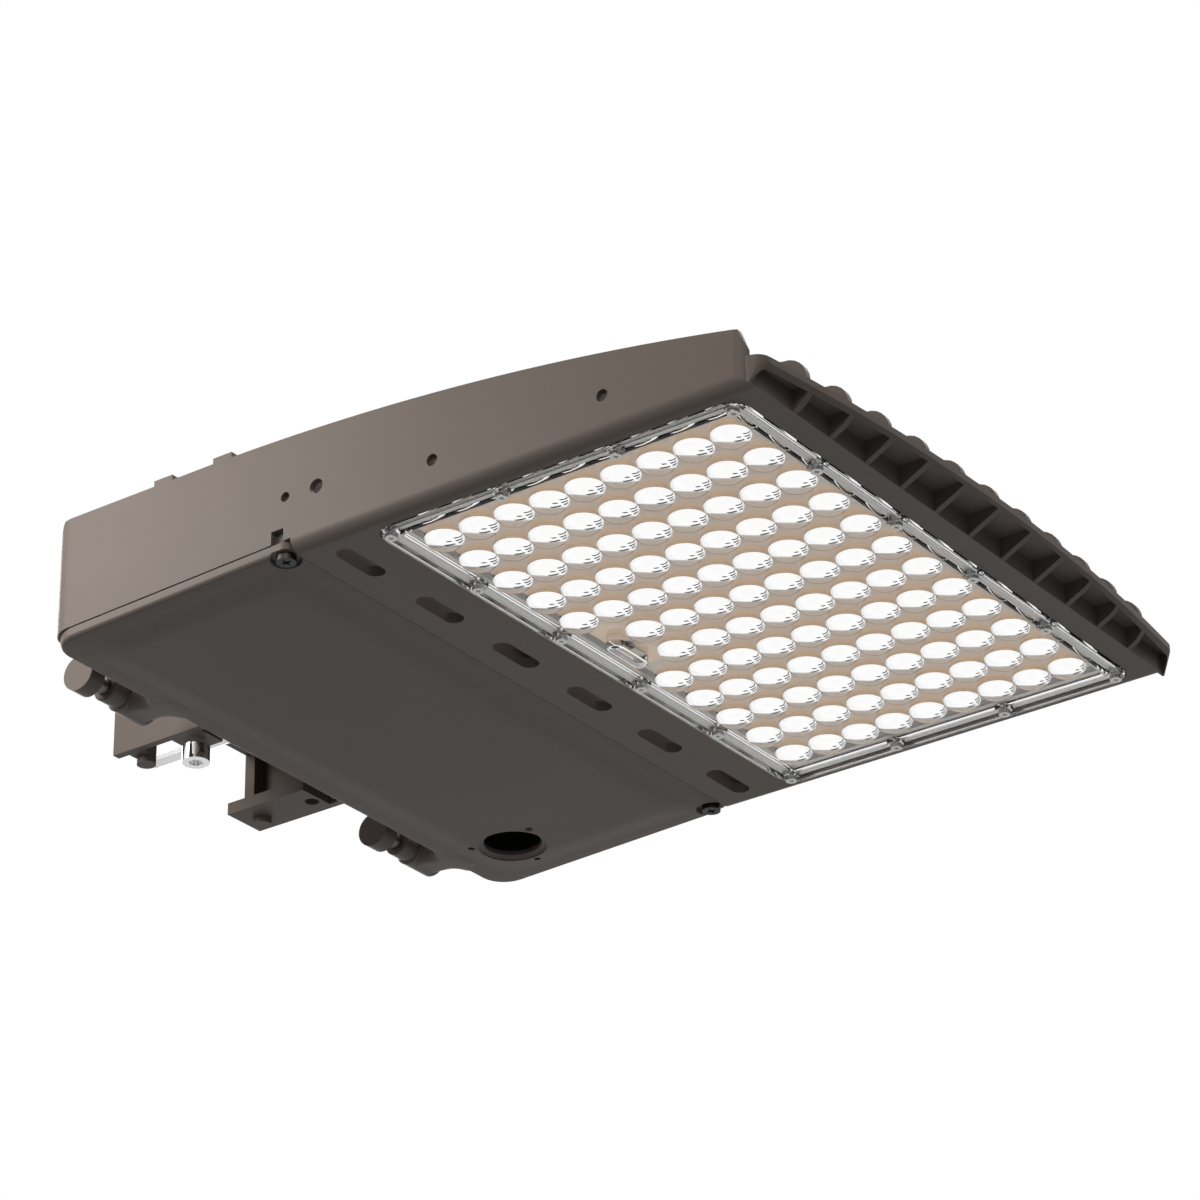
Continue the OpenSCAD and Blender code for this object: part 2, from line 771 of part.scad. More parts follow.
module hinge_pins() color("#a7a7a5") at_face()
    for (y = hinge_ys) translate([hinge_x, y + pin_ledge, hinge_z]) rotate([-90, 0, 0])
        cylinder(d = pin_d, h = knuckle_from + collar_len + knuckle_len - pin_ledge - pin_tail);

// Captive screw with a cross recess, turned from below
module captive_screw(side) color("#7b7976") at_face() catch_place(side) difference() {
    union() {
        translate([0, 0, catch_seat - gap - catch_head_h]) cylinder(d = catch_head_d, h = catch_head_h);
        translate([0, 0, catch_seat - gap - over]) cylinder(d = catch_shank_d, h = catch_len - catch_seat);
    }
    for (a = [0, 90]) rotate([0, 0, a])
        translate([-catch_slot / 2, -catch_slot_t / 2, catch_seat - gap - catch_head_h - over])
        cube([catch_slot, catch_slot_t, catch_slot_depth + over]);
}
module captive_screw_left() captive_screw(-1);
module captive_screw_right() captive_screw(1);

// Ring on the shank that keeps the screw in the door
module retainer(side) color("#c9c9c7") at_face() catch_place(side)
    translate([0, 0, catch_seat + catch_web + gap]) difference() {
        cylinder(d = retainer_d, h = retainer_t);
        translate([0, 0, -over]) cylinder(d = catch_shank_d, h = retainer_t + 2 * over);
    }
module retainer_left() retainer(-1);
module retainer_right() retainer(1);

// Clear lens plate with one dome over each light source
module lens_plate() color([0.86, 0.88, 0.88, 0.6]) at_face() difference() {
    union() {
        translate([0, 0, field_z]) linear_extrude(lens_t)
            polygon(slab(lens_x0, lens_x1, lens_w / 2, lens_corner_r, lens_corner_r));
        // Raised double frame round the edge
        translate([0, 0, -rim_drop]) linear_extrude(rim_drop + field_z + over / 2) difference() {
            polygon(slab(lens_x0, lens_x1, lens_w / 2, lens_corner_r, lens_corner_r));
            polygon(slab(lens_x0 + rim_lip, lens_x1 - rim_lip, lens_w / 2 - rim_lip,
                lens_corner_r - rim_lip, lens_corner_r - rim_lip));
        }
        translate([0, 0, rim_lip - rim_drop]) linear_extrude(rim_drop + field_z - rim_lip / 2) difference() {
            polygon(slab(lens_x0 + rim_w + rim_lip, lens_x1 - rim_w - rim_lip,
                lens_w / 2 - rim_w - rim_lip, rim_lip * 2, rim_lip * 2));
            polygon(slab(lens_x0 + rim_w + 2 * rim_lip, lens_x1 - rim_w - 2 * rim_lip,
                lens_w / 2 - rim_w - 2 * rim_lip, rim_lip, rim_lip));
        }
        rim_places() translate([0, 0, -rim_boss_drop])
            cylinder(d = boss_out_d, h = rim_boss_drop + field_z + over / 2, $fn = 32);
        lens_places() dome();
        // Oblong cover over the place where the lead reaches the board
        translate([wire_x, 0, field_z - pocket_drop]) linear_extrude(pocket_drop + over / 2)
            oblong(pocket_len, pocket_w);
    }
    translate([wire_x, 0, field_z - pocket_drop + pocket_wall])
        linear_extrude(pocket_drop + lens_t + over)
        oblong(pocket_len - 2 * pocket_wall, pocket_w - 2 * pocket_wall);
    rim_places() translate([0, 0, -rim_boss_drop - over])
        cylinder(d = rim_screw_d + gap, h = rim_boss_drop + field_z + lens_t + 2 * over, $fn = 32);
    // Domes are hollow above the light sources
    lens_places() translate([0, 0, field_z + lens_t - dome_bowl])
        cylinder(d = chip * 2, h = dome_bowl + over, $fn = 24);
}

module oblong(l, w) {
    translate([-w / 2, w / 2 - l / 2]) square([w, l - w]);
    for (s = [-1, 1]) translate([0, s * (l - w) / 2]) circle(d = w, $fn = 32);
}

// One lens dome as a cap cut from a ball
module dome() intersection() {
    translate([0, 0, field_z - dome_h + ball_r]) sphere(r = ball_r);
    translate([0, 0, field_z - dome_h - over])
        cylinder(d = dome_d, h = dome_h + over + lens_t / 2, $fn = 64);
}

module lens_gasket() color("#cfcfca") at_face()
    translate([0, 0, field_z + lens_t]) linear_extrude(seat_t) difference() {
        polygon(slab(lens_x0 + rim_lip, lens_x1 - rim_lip, lens_w / 2 - rim_lip,
            lens_corner_r - rim_lip, lens_corner_r - rim_lip));
        polygon(slab(lens_x0 + ledge_w - gap, lens_x1 - ledge_w + gap, lens_w / 2 - ledge_w + gap,
            wall, wall));
        rim_places() circle(d = rim_screw_d + gap, $fn = 32);
    }

// Screws round the lens plate, driven from below
module lens_screws() color("#b9b9b6") at_face() rim_places() difference() {
    union() {
        translate([0, 0, -rim_boss_drop - rim_head_h]) cylinder(d = rim_head_d, h = rim_head_h, $fn = 32);
        translate([0, 0, -rim_boss_drop - over / 2])
            cylinder(d = rim_screw_d - 2 * run, h = rim_screw_len + rim_boss_drop, $fn = 32);
    }
    for (a = [0, 90]) rotate([0, 0, a])
        translate([-rim_head_d / 4, -rim_lip / 4, -rim_boss_drop - rim_head_h - over])
        cube([rim_head_d / 2, rim_lip / 2, over + rim_head_h / 2]);
}

// Aluminium light board
module led_board() color("#e6e4dd") at_face() difference() {
    translate([0, 0, board_z]) linear_extrude(board_t)
        polygon(slab(lens_x0 + ledge_w + board_edge, lens_x1 - ledge_w - board_edge,
            lens_w / 2 - ledge_w - board_edge, wall, wall));
    fix_places() translate([0, 0, board_z - over])
        cylinder(d = fix_d + gap, h = board_t + 2 * over, $fn = 32);
    translate([wire_x, 0, board_z - over]) cylinder(d = wire_d, h = board_t + 2 * over);
}

module led_chips() color("#f3d98a") at_face() lens_places()
    translate([-chip / 2, -chip / 2, board_z - chip_t]) cube([chip, chip, chip_t]);

module thermal_pad() color("#8fa6b5") at_face() difference() {
    translate([0, 0, board_z + board_t]) linear_extrude(pad_t)
        polygon(slab(lens_x0 + ledge_w + pad_edge, lens_x1 - ledge_w - pad_edge,
            lens_w / 2 - ledge_w - pad_edge, wall, wall));
    fix_places() translate([0, 0, board_z])
        cylinder(d = fix_d + gap, h = board_t + pad_t + over, $fn = 32);
    translate([wire_x, 0, board_z]) cylinder(d = wire_d, h = board_t + pad_t + over);
}

module board_screws() color("#b9b9b6") at_face() fix_places() {
    translate([0, 0, board_z - fix_head_h]) cylinder(d = fix_head_d, h = fix_head_h, $fn = 32);
    translate([0, 0, board_z - over / 2]) cylinder(d = fix_d - 2 * run, h = fix_len, $fn = 32);
}

// Plug where the lead from the driver meets the light board
module board_connector() color("#f2f0ea") at_face()
    translate([wire_x - plug_w / 2, plug_y, board_z - plug_h]) cube([plug_w, plug_len, plug_h]);

module led_lead() color("#303030") at_face() lead([
    [psu_x + psu_len - led_lead_turn, psu_y + psu_w / 2, led_lead_z],
    [psu_x + psu_len - led_lead_turn, 0, led_lead_z],
    [seam_x - led_lead_turn / 2, 0, led_lead_z], [seam_x - led_lead_turn / 2, 0, duct_z],
    [wire_x, 0, duct_z], [wire_x, 0, board_z - plug_h / 2], [wire_x, plug_y, board_z - plug_h / 2]],
    led_lead_d);

module lead_grommet() color("#1d1d1d") at_face()
    translate([shaft_x0 - wall, 0, duct_z]) rotate([0, 90, 0]) difference() {
        union() {
            translate([0, 0, -cable_lip_t]) cylinder(d = duct_bore_d + cable_lip, h = cable_lip_t);
            translate([0, 0, -over]) cylinder(d = duct_bore_d, h = over + 2 * cable_lip_t);
        }
        translate([0, 0, -cable_lip_t - over]) cylinder(d = led_lead_d, h = 4 * cable_lip_t);
    }

// Constant-current driver in a metal case with end feet
module led_driver() color("#d7d8d6") at_face() {
    z0 = roof_in - post_h - psu_h;
    translate([psu_x, psu_y - psu_w / 2, z0]) cube([psu_len, psu_w, psu_h]);
    difference() {
        translate([psu_x, psu_y - psu_w / 2 - psu_foot, roof_in - post_h - psu_foot_t])
            cube([psu_len, psu_w + 2 * psu_foot, psu_foot_t]);
        psu_places() translate([0, 0, roof_in - post_h - psu_foot_t - over])
            cylinder(d = psu_screw_d + gap, h = psu_foot_t + 2 * over);
    }
}

module driver_screws() color("#b9b9b6") at_face() psu_places() {
    translate([0, 0, roof_in - post_h - psu_foot_t - psu_head_h]) cylinder(d = psu_head_d, h = psu_head_h);
    translate([0, 0, roof_in - post_h - psu_foot_t - over])
        cylinder(d = psu_screw_d - 2 * run, h = psu_screw_len - psu_head_h);
}

module surge_protector() color("#d8d4c8") at_face() translate([spd_x + spd_len / 2, spd_y, spd_top - spd_h])
    linear_extrude(spd_h) polygon(slab(-spd_len / 2, spd_len / 2, spd_w / 2, spd_r, spd_r));

// Strap that holds the surge protector to its pad under the roof
module surge_bracket() color("#aeb0ae") at_face() translate([spd_x + (spd_len - strap_w) / 2, spd_y, 0]) {
    half = spd_w / 2;
    translate([0, -half - strap_t, spd_top - spd_h - strap_t]) cube([strap_w, spd_w + 2 * strap_t, strap_t]);
    for (s = [-1, 1]) {
        translate([0, s > 0 ? half : -half - strap_t, spd_top - spd_h - strap_t])
            cube([strap_w, strap_t, spd_h + strap_t]);
        difference() {
            translate([0, s > 0 ? half : -half - strap_foot, spd_top - strap_t])
                cube([strap_w, strap_foot, strap_t]);
            translate([strap_w / 2, s * (half + strap_foot / 2), spd_top - strap_t - over])
                cylinder(d = psu_screw_d, h = strap_t + 2 * over);
        }
    }
}

module surge_screws() color("#b9b9b6") at_face() strap_places() {
    translate([0, 0, spd_top - strap_t - psu_head_h]) cylinder(d = psu_head_d, h = psu_head_h);
    translate([0, 0, spd_top - strap_t - over]) cylinder(d = psu_screw_d - 2 * run, h = strap_screw_len);
}

// Supply terminal block with a screw well for each wire
module terminal_block() color("#e9e6dc") at_face() difference() {
    translate([term_x - term_len / 2, term_y - term_w / 2, roof_in - post_h / 2 - term_h])
        cube([term_len, term_w, term_h]);
    for (k = [0 : term_n - 1])
        translate([term_x, term_y + (k - (term_n - 1) / 2) * term_w / term_n,
            roof_in - post_h / 2 - term_h - over])
            cylinder(d = term_well_d, h = term_well_depth + over);
    block_places() {
        translate([0, 0, roof_in - post_h / 2 - term_h - over])
            cylinder(d = block_screw_d, h = term_h + 2 * over);
        translate([0, 0, roof_in - post_h / 2 - term_h - over])
            cylinder(d = block_head_d, h = block_head_h + 2 * over);
    }
}

module block_screws() color("#b9b9b6") at_face() block_places() {
    translate([0, 0, roof_in - post_h / 2 - term_h + over - block_head_h / 2 + over / 2])
        cylinder(d = block_head_d - 2 * run, h = block_head_h / 2 + over / 2);
    translate([0, 0, roof_in - post_h / 2 - term_h + over])
        cylinder(d = block_screw_d - 2 * run, h = term_h - over + block_screw_in);
}

module terminal_screws() color("#c8b26a") at_face() for (k = [0 : term_n - 1])
    translate([term_x, term_y + (k - (term_n - 1) / 2) * term_w / term_n,
        roof_in - post_h / 2 - term_h + over])
        cylinder(d = term_screw_d, h = term_well_depth - over);

module ground_screw() color("#3f8f4a") at_face() translate([gnd_x, gnd_y, roof_in - post_h - eyelet_t]) {
    translate([0, 0, -gnd_head_h]) cylinder(d = gnd_head_d, h = gnd_head_h);
    translate([0, 0, -over]) cylinder(d = gnd_screw_d - 2 * run, h = gnd_screw_len - gnd_head_h);
}

module driver_input_lead() color("#f0efe9") at_face() lead([
    [psu_x + led_lead_turn, psu_y + psu_w / 2, lead_z], [psu_x + led_lead_turn, term_y - term_w, lead_z],
    [term_x, term_y - term_w, lead_z], [term_x, term_y - term_w, term_z],
    [term_x, term_y - term_w / 2, term_z]], lead_d);

module surge_lead() color("#a33a32") at_face() {
    side_y = spd_y - spd_w / 2 - spd_r - lead_d;
    lead([[term_x, term_y + term_w / 2, term_z], [term_x, side_y, term_z], [term_x, side_y, lead_z],
        [spd_x + spd_r * 2, side_y, lead_z], [spd_x + spd_r * 2, spd_y - spd_w / 2, lead_z]], ground_lead_d);
}

// Ground lead with a ring under the head of the ground screw
module ground_lead() color("#3f8f4a") at_face() {
    lead_at = roof_in - post_h - eyelet_t / 2;
    difference() {
        translate([gnd_x, gnd_y, roof_in - post_h - eyelet_t])
            cylinder(d = gnd_boss_d + 2 * eyelet_rim, h = eyelet_t);
        translate([gnd_x, gnd_y, roof_in - post_h - eyelet_t - over])
            cylinder(d = gnd_screw_d, h = eyelet_t + 2 * over);
    }
    lead([[gnd_x + gnd_boss_d / 2 + gap, gnd_y, lead_at], [term_x - term_len, gnd_y, lead_at],
        [term_x - term_len, gnd_y, term_z], [term_x - term_len / 2, gnd_y, term_z]], ground_lead_d);
}

// Arm between the pole and the housing, welded from two cheeks and three plates, open underneath
module arm_cheek(s, bottom) {
    translate([0, s > 0 ? arm_half - cheek_t : -arm_half, arm_bottom])
        cube([arm_len, cheek_t, arm_top - arm_bottom]);
    translate([0, s > 0 ? arm_half - cheek_t - flange_in : cheek_t - arm_half - over, arm_bottom + bottom])
        cube([flange_t, flange_in + over, arm_top - arm_bottom - bottom]);
    translate([foot_x, s * lock_y, arm_bottom - foot_drop]) cylinder(d = foot_d, h = foot_drop + bottom);
}

// Left cheek with the short lug of the lock screw
module arm_cheek_left() color("#6b635c") at_face() difference() {
    union() {
        arm_cheek(-1, lug_t);
        translate([lock_x - lug_len / 2, -arm_half, arm_bottom]) cube([lug_len, lug_in, lug_t]);
        translate([foot_x - foot_d / 2, -arm_half, arm_bottom]) cube([foot_d, arm_half - lock_y, lug_t]);
    }
    translate([lock_x, -lock_y, arm_bottom - over]) cylinder(d = lock_d, h = lug_t + 2 * over);
}

// Right cheek with the long ledge and the second tapped hole
module arm_cheek_right() color("#6b635c") at_face() difference() {
    union() {
        arm_cheek(1, flange_t);
        translate([0, arm_half - ledge_in, arm_bottom]) cube([arm_len - 2 * flange_t, ledge_in, flange_t]);
    }
    translate([lock_x, lock_y, arm_bottom - over]) cylinder(d = lock_d * tap_share, h = flange_t + 2 * over);
}

module arm_top_plate() color("#6b635c") at_face()
    translate([flange_t, cheek_t - arm_half, arm_top - web_t])
        cube([arm_len - flange_t - flat_t, arm_w - 2 * cheek_t, web_t]);

// Crosspiece at the pole that the upper rod passes
module arm_pole_plate() color("#6b635c") at_face() difference() {
    half = arm_half - cheek_t - flange_in;
    translate([0, -half, arm_top - rod_gap]) cube([flange_t, 2 * half, rod_gap]);
    rod_places() translate([-over, 0, 0]) rotate([0, 90, 0])
        cylinder(d = rod_d + 2 * rod_hole_play, h = flange_t + 2 * over);
}

// Plate against the housing's rear wall
module arm_end_plate() color("#6b635c") at_face() difference() {
    translate([arm_len - flat_t, cheek_t - arm_half, rod_low_z - rod_washer_d])
        cube([flat_t, arm_w - 2 * cheek_t, arm_top - rod_low_z + rod_washer_d]);
    rod_places() translate([arm_len - flat_t - over, 0, 0]) rotate([0, 90, 0])
        cylinder(d = rod_d + 2 * rod_hole_play, h = flat_t + 2 * over);
    arm_screw_places() translate([arm_len - flat_t - over, 0, 0]) rotate([0, 90, 0])
        cylinder(d = arm_screw_d, h = flat_t + 2 * over);
    translate([arm_len - flat_t - over, cable_hole_y, cable_z]) rotate([0, 90, 0])
        cylinder(d = cable_hole_d, h = flat_t + 2 * over);
}

module arm_gasket() color("#2a2a2a") at_face() difference() {
    translate([arm_len, -arm_half, rod_low_z - rod_washer_d])
        cube([arm_gasket_t, arm_w, body_top - 2 * roof_edge - rod_low_z + rod_washer_d]);
    rod_places() rotate([0, 90, 0]) cylinder(d = rod_d + 2 * rod_hole_play, h = arm_len * 2);
    arm_screw_places() rotate([0, 90, 0]) cylinder(d = arm_screw_d, h = arm_len * 2);
    translate([0, cable_hole_y, cable_z]) rotate([0, 90, 0])
        cylinder(d = cable_hole_d, h = arm_len * 2);
}

module arm_screws() color("#9c9c9a") at_face() arm_screw_places() {
    translate([wall_in, 0, 0]) rotate([0, 90, 0]) cylinder(d = arm_screw_head_d, h = arm_screw_head_h);
    translate([arm_len - flat_t, 0, 0]) rotate([0, 90, 0])
        cylinder(d = arm_screw_d - 2 * run, h = wall_in + over - arm_len + flat_t);
}

// Long tie rods with a full thread outside the pole face and a plain shank inside
module tie_rods() color("#d9d9d9") at_face() rod_places() rotate([0, 90, 0]) {
    translate([0, 0, -rod_out]) cylinder(d = rod_d, h = rod_out);
    translate([0, 0, -over]) cylinder(d = rod_core_d, h = over + wall_in + rod_in);
}

module rod_washers() color("#c4c4c2") at_face() rod_places() difference() {
    translate([wall_in, 0, 0]) rotate([0, 90, 0]) cylinder(d = rod_washer_d, h = rod_washer_t);
    translate([wall_in - over, 0, 0]) rotate([0, 90, 0])
        cylinder(d = rod_d, h = rod_washer_t + 2 * over);
}

module rod_nuts() color("#c4c4c2") at_face() rod_places() difference() {
    translate([wall_in + rod_washer_t, 0, 0]) rotate([0, 90, 0])
        cylinder(d = rod_nut_af / cos(30), h = rod_nut_h, $fn = 6);
    translate([wall_in, 0, 0]) rotate([0, 90, 0])
        cylinder(d = rod_core_d, h = rod_nut_h + 2 * rod_washer_t + over);
}

// Socket head screw turned from below to lock the light to its pole plate
module lock_screw() color("#e2e2e2") at_face()
    translate([lock_x, -lock_y, arm_bottom - lock_stand]) difference() {
        union() {
            translate([0, 0, -lock_head_h]) cylinder(d = lock_head_d, h = lock_head_h);
            translate([0, 0, -over]) cylinder(d = lock_d - 2 * run, h = lock_len + over);
        }
        translate([0, 0, -lock_head_h - over])
            cylinder(d = lock_hex / cos(30), h = lock_hex_depth + over, $fn = 6);
    }

module lock_nut() color("#c4c4c2") at_face()
    translate([lock_x, -lock_y, arm_bottom + lug_t]) difference() {
        cylinder(d = lock_nut_af / cos(30), h = lock_nut_h, $fn = 6);
        translate([0, 0, -over]) cylinder(d = lock_d, h = lock_nut_h + 2 * over);
    }

module cable_grommet() color("#1d1d1d") at_face()
    translate([wall_in, cable_hole_y, cable_z]) rotate([0, 90, 0]) difference() {
        union() {
            cylinder(d = cable_hole_d + 2 * cable_lip, h = cable_lip_t);
            translate([0, 0, arm_len - flat_t - wall_in])
                cylinder(d = cable_hole_d - run, h = flat_t + wall_in - arm_len + over);
        }
        translate([0, 0, arm_len - flat_t - wall_in - over]) cylinder(d = cable_bore_d, h = arm_len);
    }

housing();
driver_door();
door_gasket();
hinge_pins();
captive_screw_left();
captive_screw_right();
retainer_left();
retainer_right();
lens_plate();
lens_gasket();
lens_screws();
led_board();
led_chips();
thermal_pad();
board_screws();
board_connector();
led_lead();
lead_grommet();
led_driver();
driver_screws();
surge_protector();
surge_bracket();
surge_screws();
terminal_block();
terminal_screws();
block_screws();
ground_screw();
driver_input_lead();
surge_lead();
ground_lead();
arm_cheek_left();
arm_cheek_right();
arm_top_plate();
arm_pole_plate();
arm_end_plate();
arm_gasket();
arm_screws();
tie_rods();
rod_washers();
rod_nuts();
lock_screw();
lock_nut();
cable_grommet();
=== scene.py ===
from math import cos, pi, radians, sin, sqrt

import bmesh
import bpy
from mathutils import Matrix, Vector


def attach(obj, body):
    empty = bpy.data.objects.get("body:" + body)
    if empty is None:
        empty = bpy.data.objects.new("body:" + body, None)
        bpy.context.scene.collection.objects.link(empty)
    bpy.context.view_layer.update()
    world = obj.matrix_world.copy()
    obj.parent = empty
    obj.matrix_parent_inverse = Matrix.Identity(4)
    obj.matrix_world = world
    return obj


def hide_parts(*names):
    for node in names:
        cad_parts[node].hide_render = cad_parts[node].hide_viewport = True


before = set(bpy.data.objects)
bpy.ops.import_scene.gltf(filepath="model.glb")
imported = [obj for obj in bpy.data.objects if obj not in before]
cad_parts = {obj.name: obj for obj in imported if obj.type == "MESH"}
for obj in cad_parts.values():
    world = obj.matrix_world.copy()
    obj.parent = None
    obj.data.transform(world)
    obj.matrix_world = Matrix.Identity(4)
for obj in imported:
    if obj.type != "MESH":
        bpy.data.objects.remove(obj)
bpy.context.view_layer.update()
scene = bpy.context.scene

# Camera.
# It looks up at the underside of the light from the front left, as in the photograph,
# through a long lens that hardly narrows the far side.
camera_place = (1.3289, -1.4998, -0.9677)
camera_right = Vector((0.8071, 0.5904, -0.0085)).normalized()
camera_back = Vector((0.5207, -0.7185, -0.4611)).normalized()
camera_up = camera_back.cross(camera_right).normalized()
camera_right = camera_up.cross(camera_back)
photo_camera = bpy.data.cameras.new("photo_camera")
photo_camera.sensor_width = 36
photo_camera.lens = 139.54
photo_camera.clip_start = 0.05
photo_camera.clip_end = 200
camera_object = bpy.data.objects.new("photo_camera", photo_camera)
camera_object.matrix_world = Matrix.Translation(camera_place) @ Matrix(
    (camera_right, camera_up, camera_back)).transposed().to_4x4()
scene.collection.objects.link(camera_object)
scene.camera = camera_object
scene.view_settings.view_transform = "Standard"


# Studio.
# White surroundings that only the camera, gloss and glass see at full strength,
# a pale floor well under the light that is clear from below, and four soft panels.
def add_node(tree, kind, values=(), **settings):
    """A new shader node: its settings are made first, then the values of its sockets."""
    made = tree.nodes.new("ShaderNode" + kind)
    for setting, value in settings.items():
        setattr(made, setting, value)
    for socket, value in dict(values).items():
        made.inputs[socket].default_value = value
    return made


def wire(tree, *wires):
    """Links nodes: each wire is a node and its output, then a node and its input."""
    for giver, output, taker, entry in wires:
        tree.links.new(giver.outputs[output], taker.inputs[entry])


studio = bpy.data.worlds.new("studio")
scene.world = studio
studio.use_nodes = True
sky = studio.node_tree
sky.nodes.clear()
sky_out = add_node(sky, "OutputWorld")
white_sky = add_node(sky, "Background", {"Color": (1, 1, 1, 1), "Strength": 1.0})
soft_sky = add_node(sky, "Background", {"Color": (0.96, 0.98, 1.0, 1), "Strength": 0.09})
sky_path = add_node(sky, "LightPath")
sky_seen = add_node(sky, "Math", operation="MAXIMUM")
sky_seen_too = add_node(sky, "Math", operation="MAXIMUM")
sky_mix = add_node(sky, "MixShader")
wire(sky,
     (sky_path, "Is Camera Ray", sky_seen, 0), (sky_path, "Is Glossy Ray", sky_seen, 1),
     (sky_seen, 0, sky_seen_too, 0), (sky_path, "Is Transmission Ray", sky_seen_too, 1),
     (sky_seen_too, 0, sky_mix, 0), (soft_sky, 0, sky_mix, 1), (white_sky, 0, sky_mix, 2),
     (sky_mix, 0, sky_out, "Surface"))


def matt_tone(name, scale, tone, drift, roughness, gloss):
    """A matt material whose colour drifts between two tones."""
    material = bpy.data.materials.new(name)
    material.use_nodes = True
    tree = material.node_tree
    shader = tree.nodes["Principled BSDF"]
    shader.inputs["Roughness"].default_value = roughness
    shader.inputs["Specular IOR Level"].default_value = gloss
    noise = add_node(tree, "TexNoise", {"Scale": scale})
    tint = add_node(tree, "Mix", {"A": (*tone, 1), "B": (*drift, 1)}, data_type="RGBA")
    wire(tree, (noise, "Fac", tint, "Factor"), (tint, "Result", shader, "Base Color"))
    return material


floor_level, floor_reach, floor_squares = -1.7, 90, 24
floor_mesh = bpy.data.meshes.new("studio_floor")
floor_bm = bmesh.new()
bmesh.ops.create_grid(floor_bm, x_segments=floor_squares, y_segments=floor_squares, size=floor_reach)
for v in floor_bm.verts:
    v.co.z = floor_level
floor_bm.to_mesh(floor_mesh)
floor_bm.free()
studio_floor = bpy.data.objects.new("studio_floor", floor_mesh)
scene.collection.objects.link(studio_floor)

# The camera and gloss see most of the floor's white, glass sees all of it, and nothing
# is seen of the floor from below.
floor_white_share = 0.72
floor_paint = matt_tone("studio_floor", 30, (0.72, 0.78, 0.82), (0.76, 0.82, 0.86),
                        roughness=0.9, gloss=0.1)
floor_tree = floor_paint.node_tree
floor_shader, floor_out = floor_tree.nodes["Principled BSDF"], floor_tree.nodes["Material Output"]
floor_glow = add_node(floor_tree, "Emission", {"Strength": 1.0})
floor_path = add_node(floor_tree, "LightPath")
floor_seen = add_node(floor_tree, "Math", operation="MAXIMUM")
floor_seen_too = add_node(floor_tree, "Math", operation="MAXIMUM")
floor_share = add_node(floor_tree, "Math", {1: floor_white_share}, operation="MULTIPLY")
floor_mix = add_node(floor_tree, "MixShader")
floor_side = add_node(floor_tree, "NewGeometry")
floor_clear = add_node(floor_tree, "BsdfTransparent")
floor_one_sided = add_node(floor_tree, "MixShader")
wire(floor_tree,
     (floor_path, "Is Camera Ray", floor_seen, 0), (floor_path, "Is Glossy Ray", floor_seen, 1),
     (floor_seen, 0, floor_share, 0), (floor_share, 0, floor_seen_too, 0),
     (floor_path, "Is Transmission Ray", floor_seen_too, 1), (floor_seen_too, 0, floor_mix, 0),
     (floor_shader, 0, floor_mix, 1), (floor_glow, 0, floor_mix, 2),
     (floor_side, "Backfacing", floor_one_sided, 0), (floor_mix, 0, floor_one_sided, 1),
     (floor_clear, 0, floor_one_sided, 2), (floor_one_sided, 0, floor_out, "Surface"))
floor_mesh.materials.append(floor_paint)


def softbox(name, place, target, size, power, tint):
    """A soft panel at a place, turned to the point that it lights."""
    panel = bpy.data.lights.new(name, "AREA")
    panel.shape = "RECTANGLE"
    panel.size, panel.size_y = size
    panel.energy = power
    panel.color = tint
    lamp = bpy.data.objects.new(name, panel)
    lamp.location = place
    lamp.rotation_euler = (Vector(target) - Vector(place)).to_track_quat("-Z", "Y").to_euler()
    scene.collection.objects.link(lamp)


softbox("key_panel", (-0.13, -0.47, 0.17), target=(0.12, -0.1, 0),
        size=(0.3, 0.3), power=2.2, tint=(1.0, 0.955, 0.92))
softbox("front_panel", (0.62, -0.75, 0.2), target=(0.4, -0.1, 0.02),
        size=(0.3, 0.3), power=1.6, tint=(1.0, 0.96, 0.93))
softbox("rear_panel", (-0.8, 0.7, 0.5), target=(0.1, 0, 0),
        size=(1.0, 0.8), power=13, tint=(1.0, 0.97, 0.95))
softbox("top_panel", (0.5, 0.6, 1.7), target=(0.22, 0, 0),
        size=(1.6, 1.6), power=22, tint=(1.0, 0.99, 0.98))

# Strips of black cloth over the floor that only gloss and glass see: they draw the thin
# dark lines in the lens domes and in the plated screw and rods. Each is given by how far
# it is shifted across, its near and far ends, and its width.
flag_slant, flag_lift = 0.57, 0.04
flag_strips = ((1.1, -0.5, -1.2, 0.26), (1.0, -1.5, -2.6, 0.34), (1.75, -0.95, -1.3, 0.22),
               (1.65, -1.6, -3.0, 0.3), (2.35, -1.9, -3.6, 0.3))
flag_bm = bmesh.new()
for shift, near, far, width in flag_strips:
    flag_bm.faces.new([
        flag_bm.verts.new((x, flag_slant * x + shift + half, floor_level + flag_lift))
        for x, half in ((near, -width / 2), (near, width / 2), (far, width / 2), (far, -width / 2))])
flag_mesh = bpy.data.meshes.new("studio_flags")
flag_bm.to_mesh(flag_mesh)
flag_bm.free()
studio_flags = bpy.data.objects.new("studio_flags", flag_mesh)
studio_flags.visible_camera = studio_flags.visible_diffuse = studio_flags.visible_shadow = False
scene.collection.objects.link(studio_flags)
flag_mesh.materials.append(
    matt_tone("flag_cloth", 60, (0.01, 0.01, 0.01), (0.02, 0.02, 0.02), roughness=1, gloss=0))


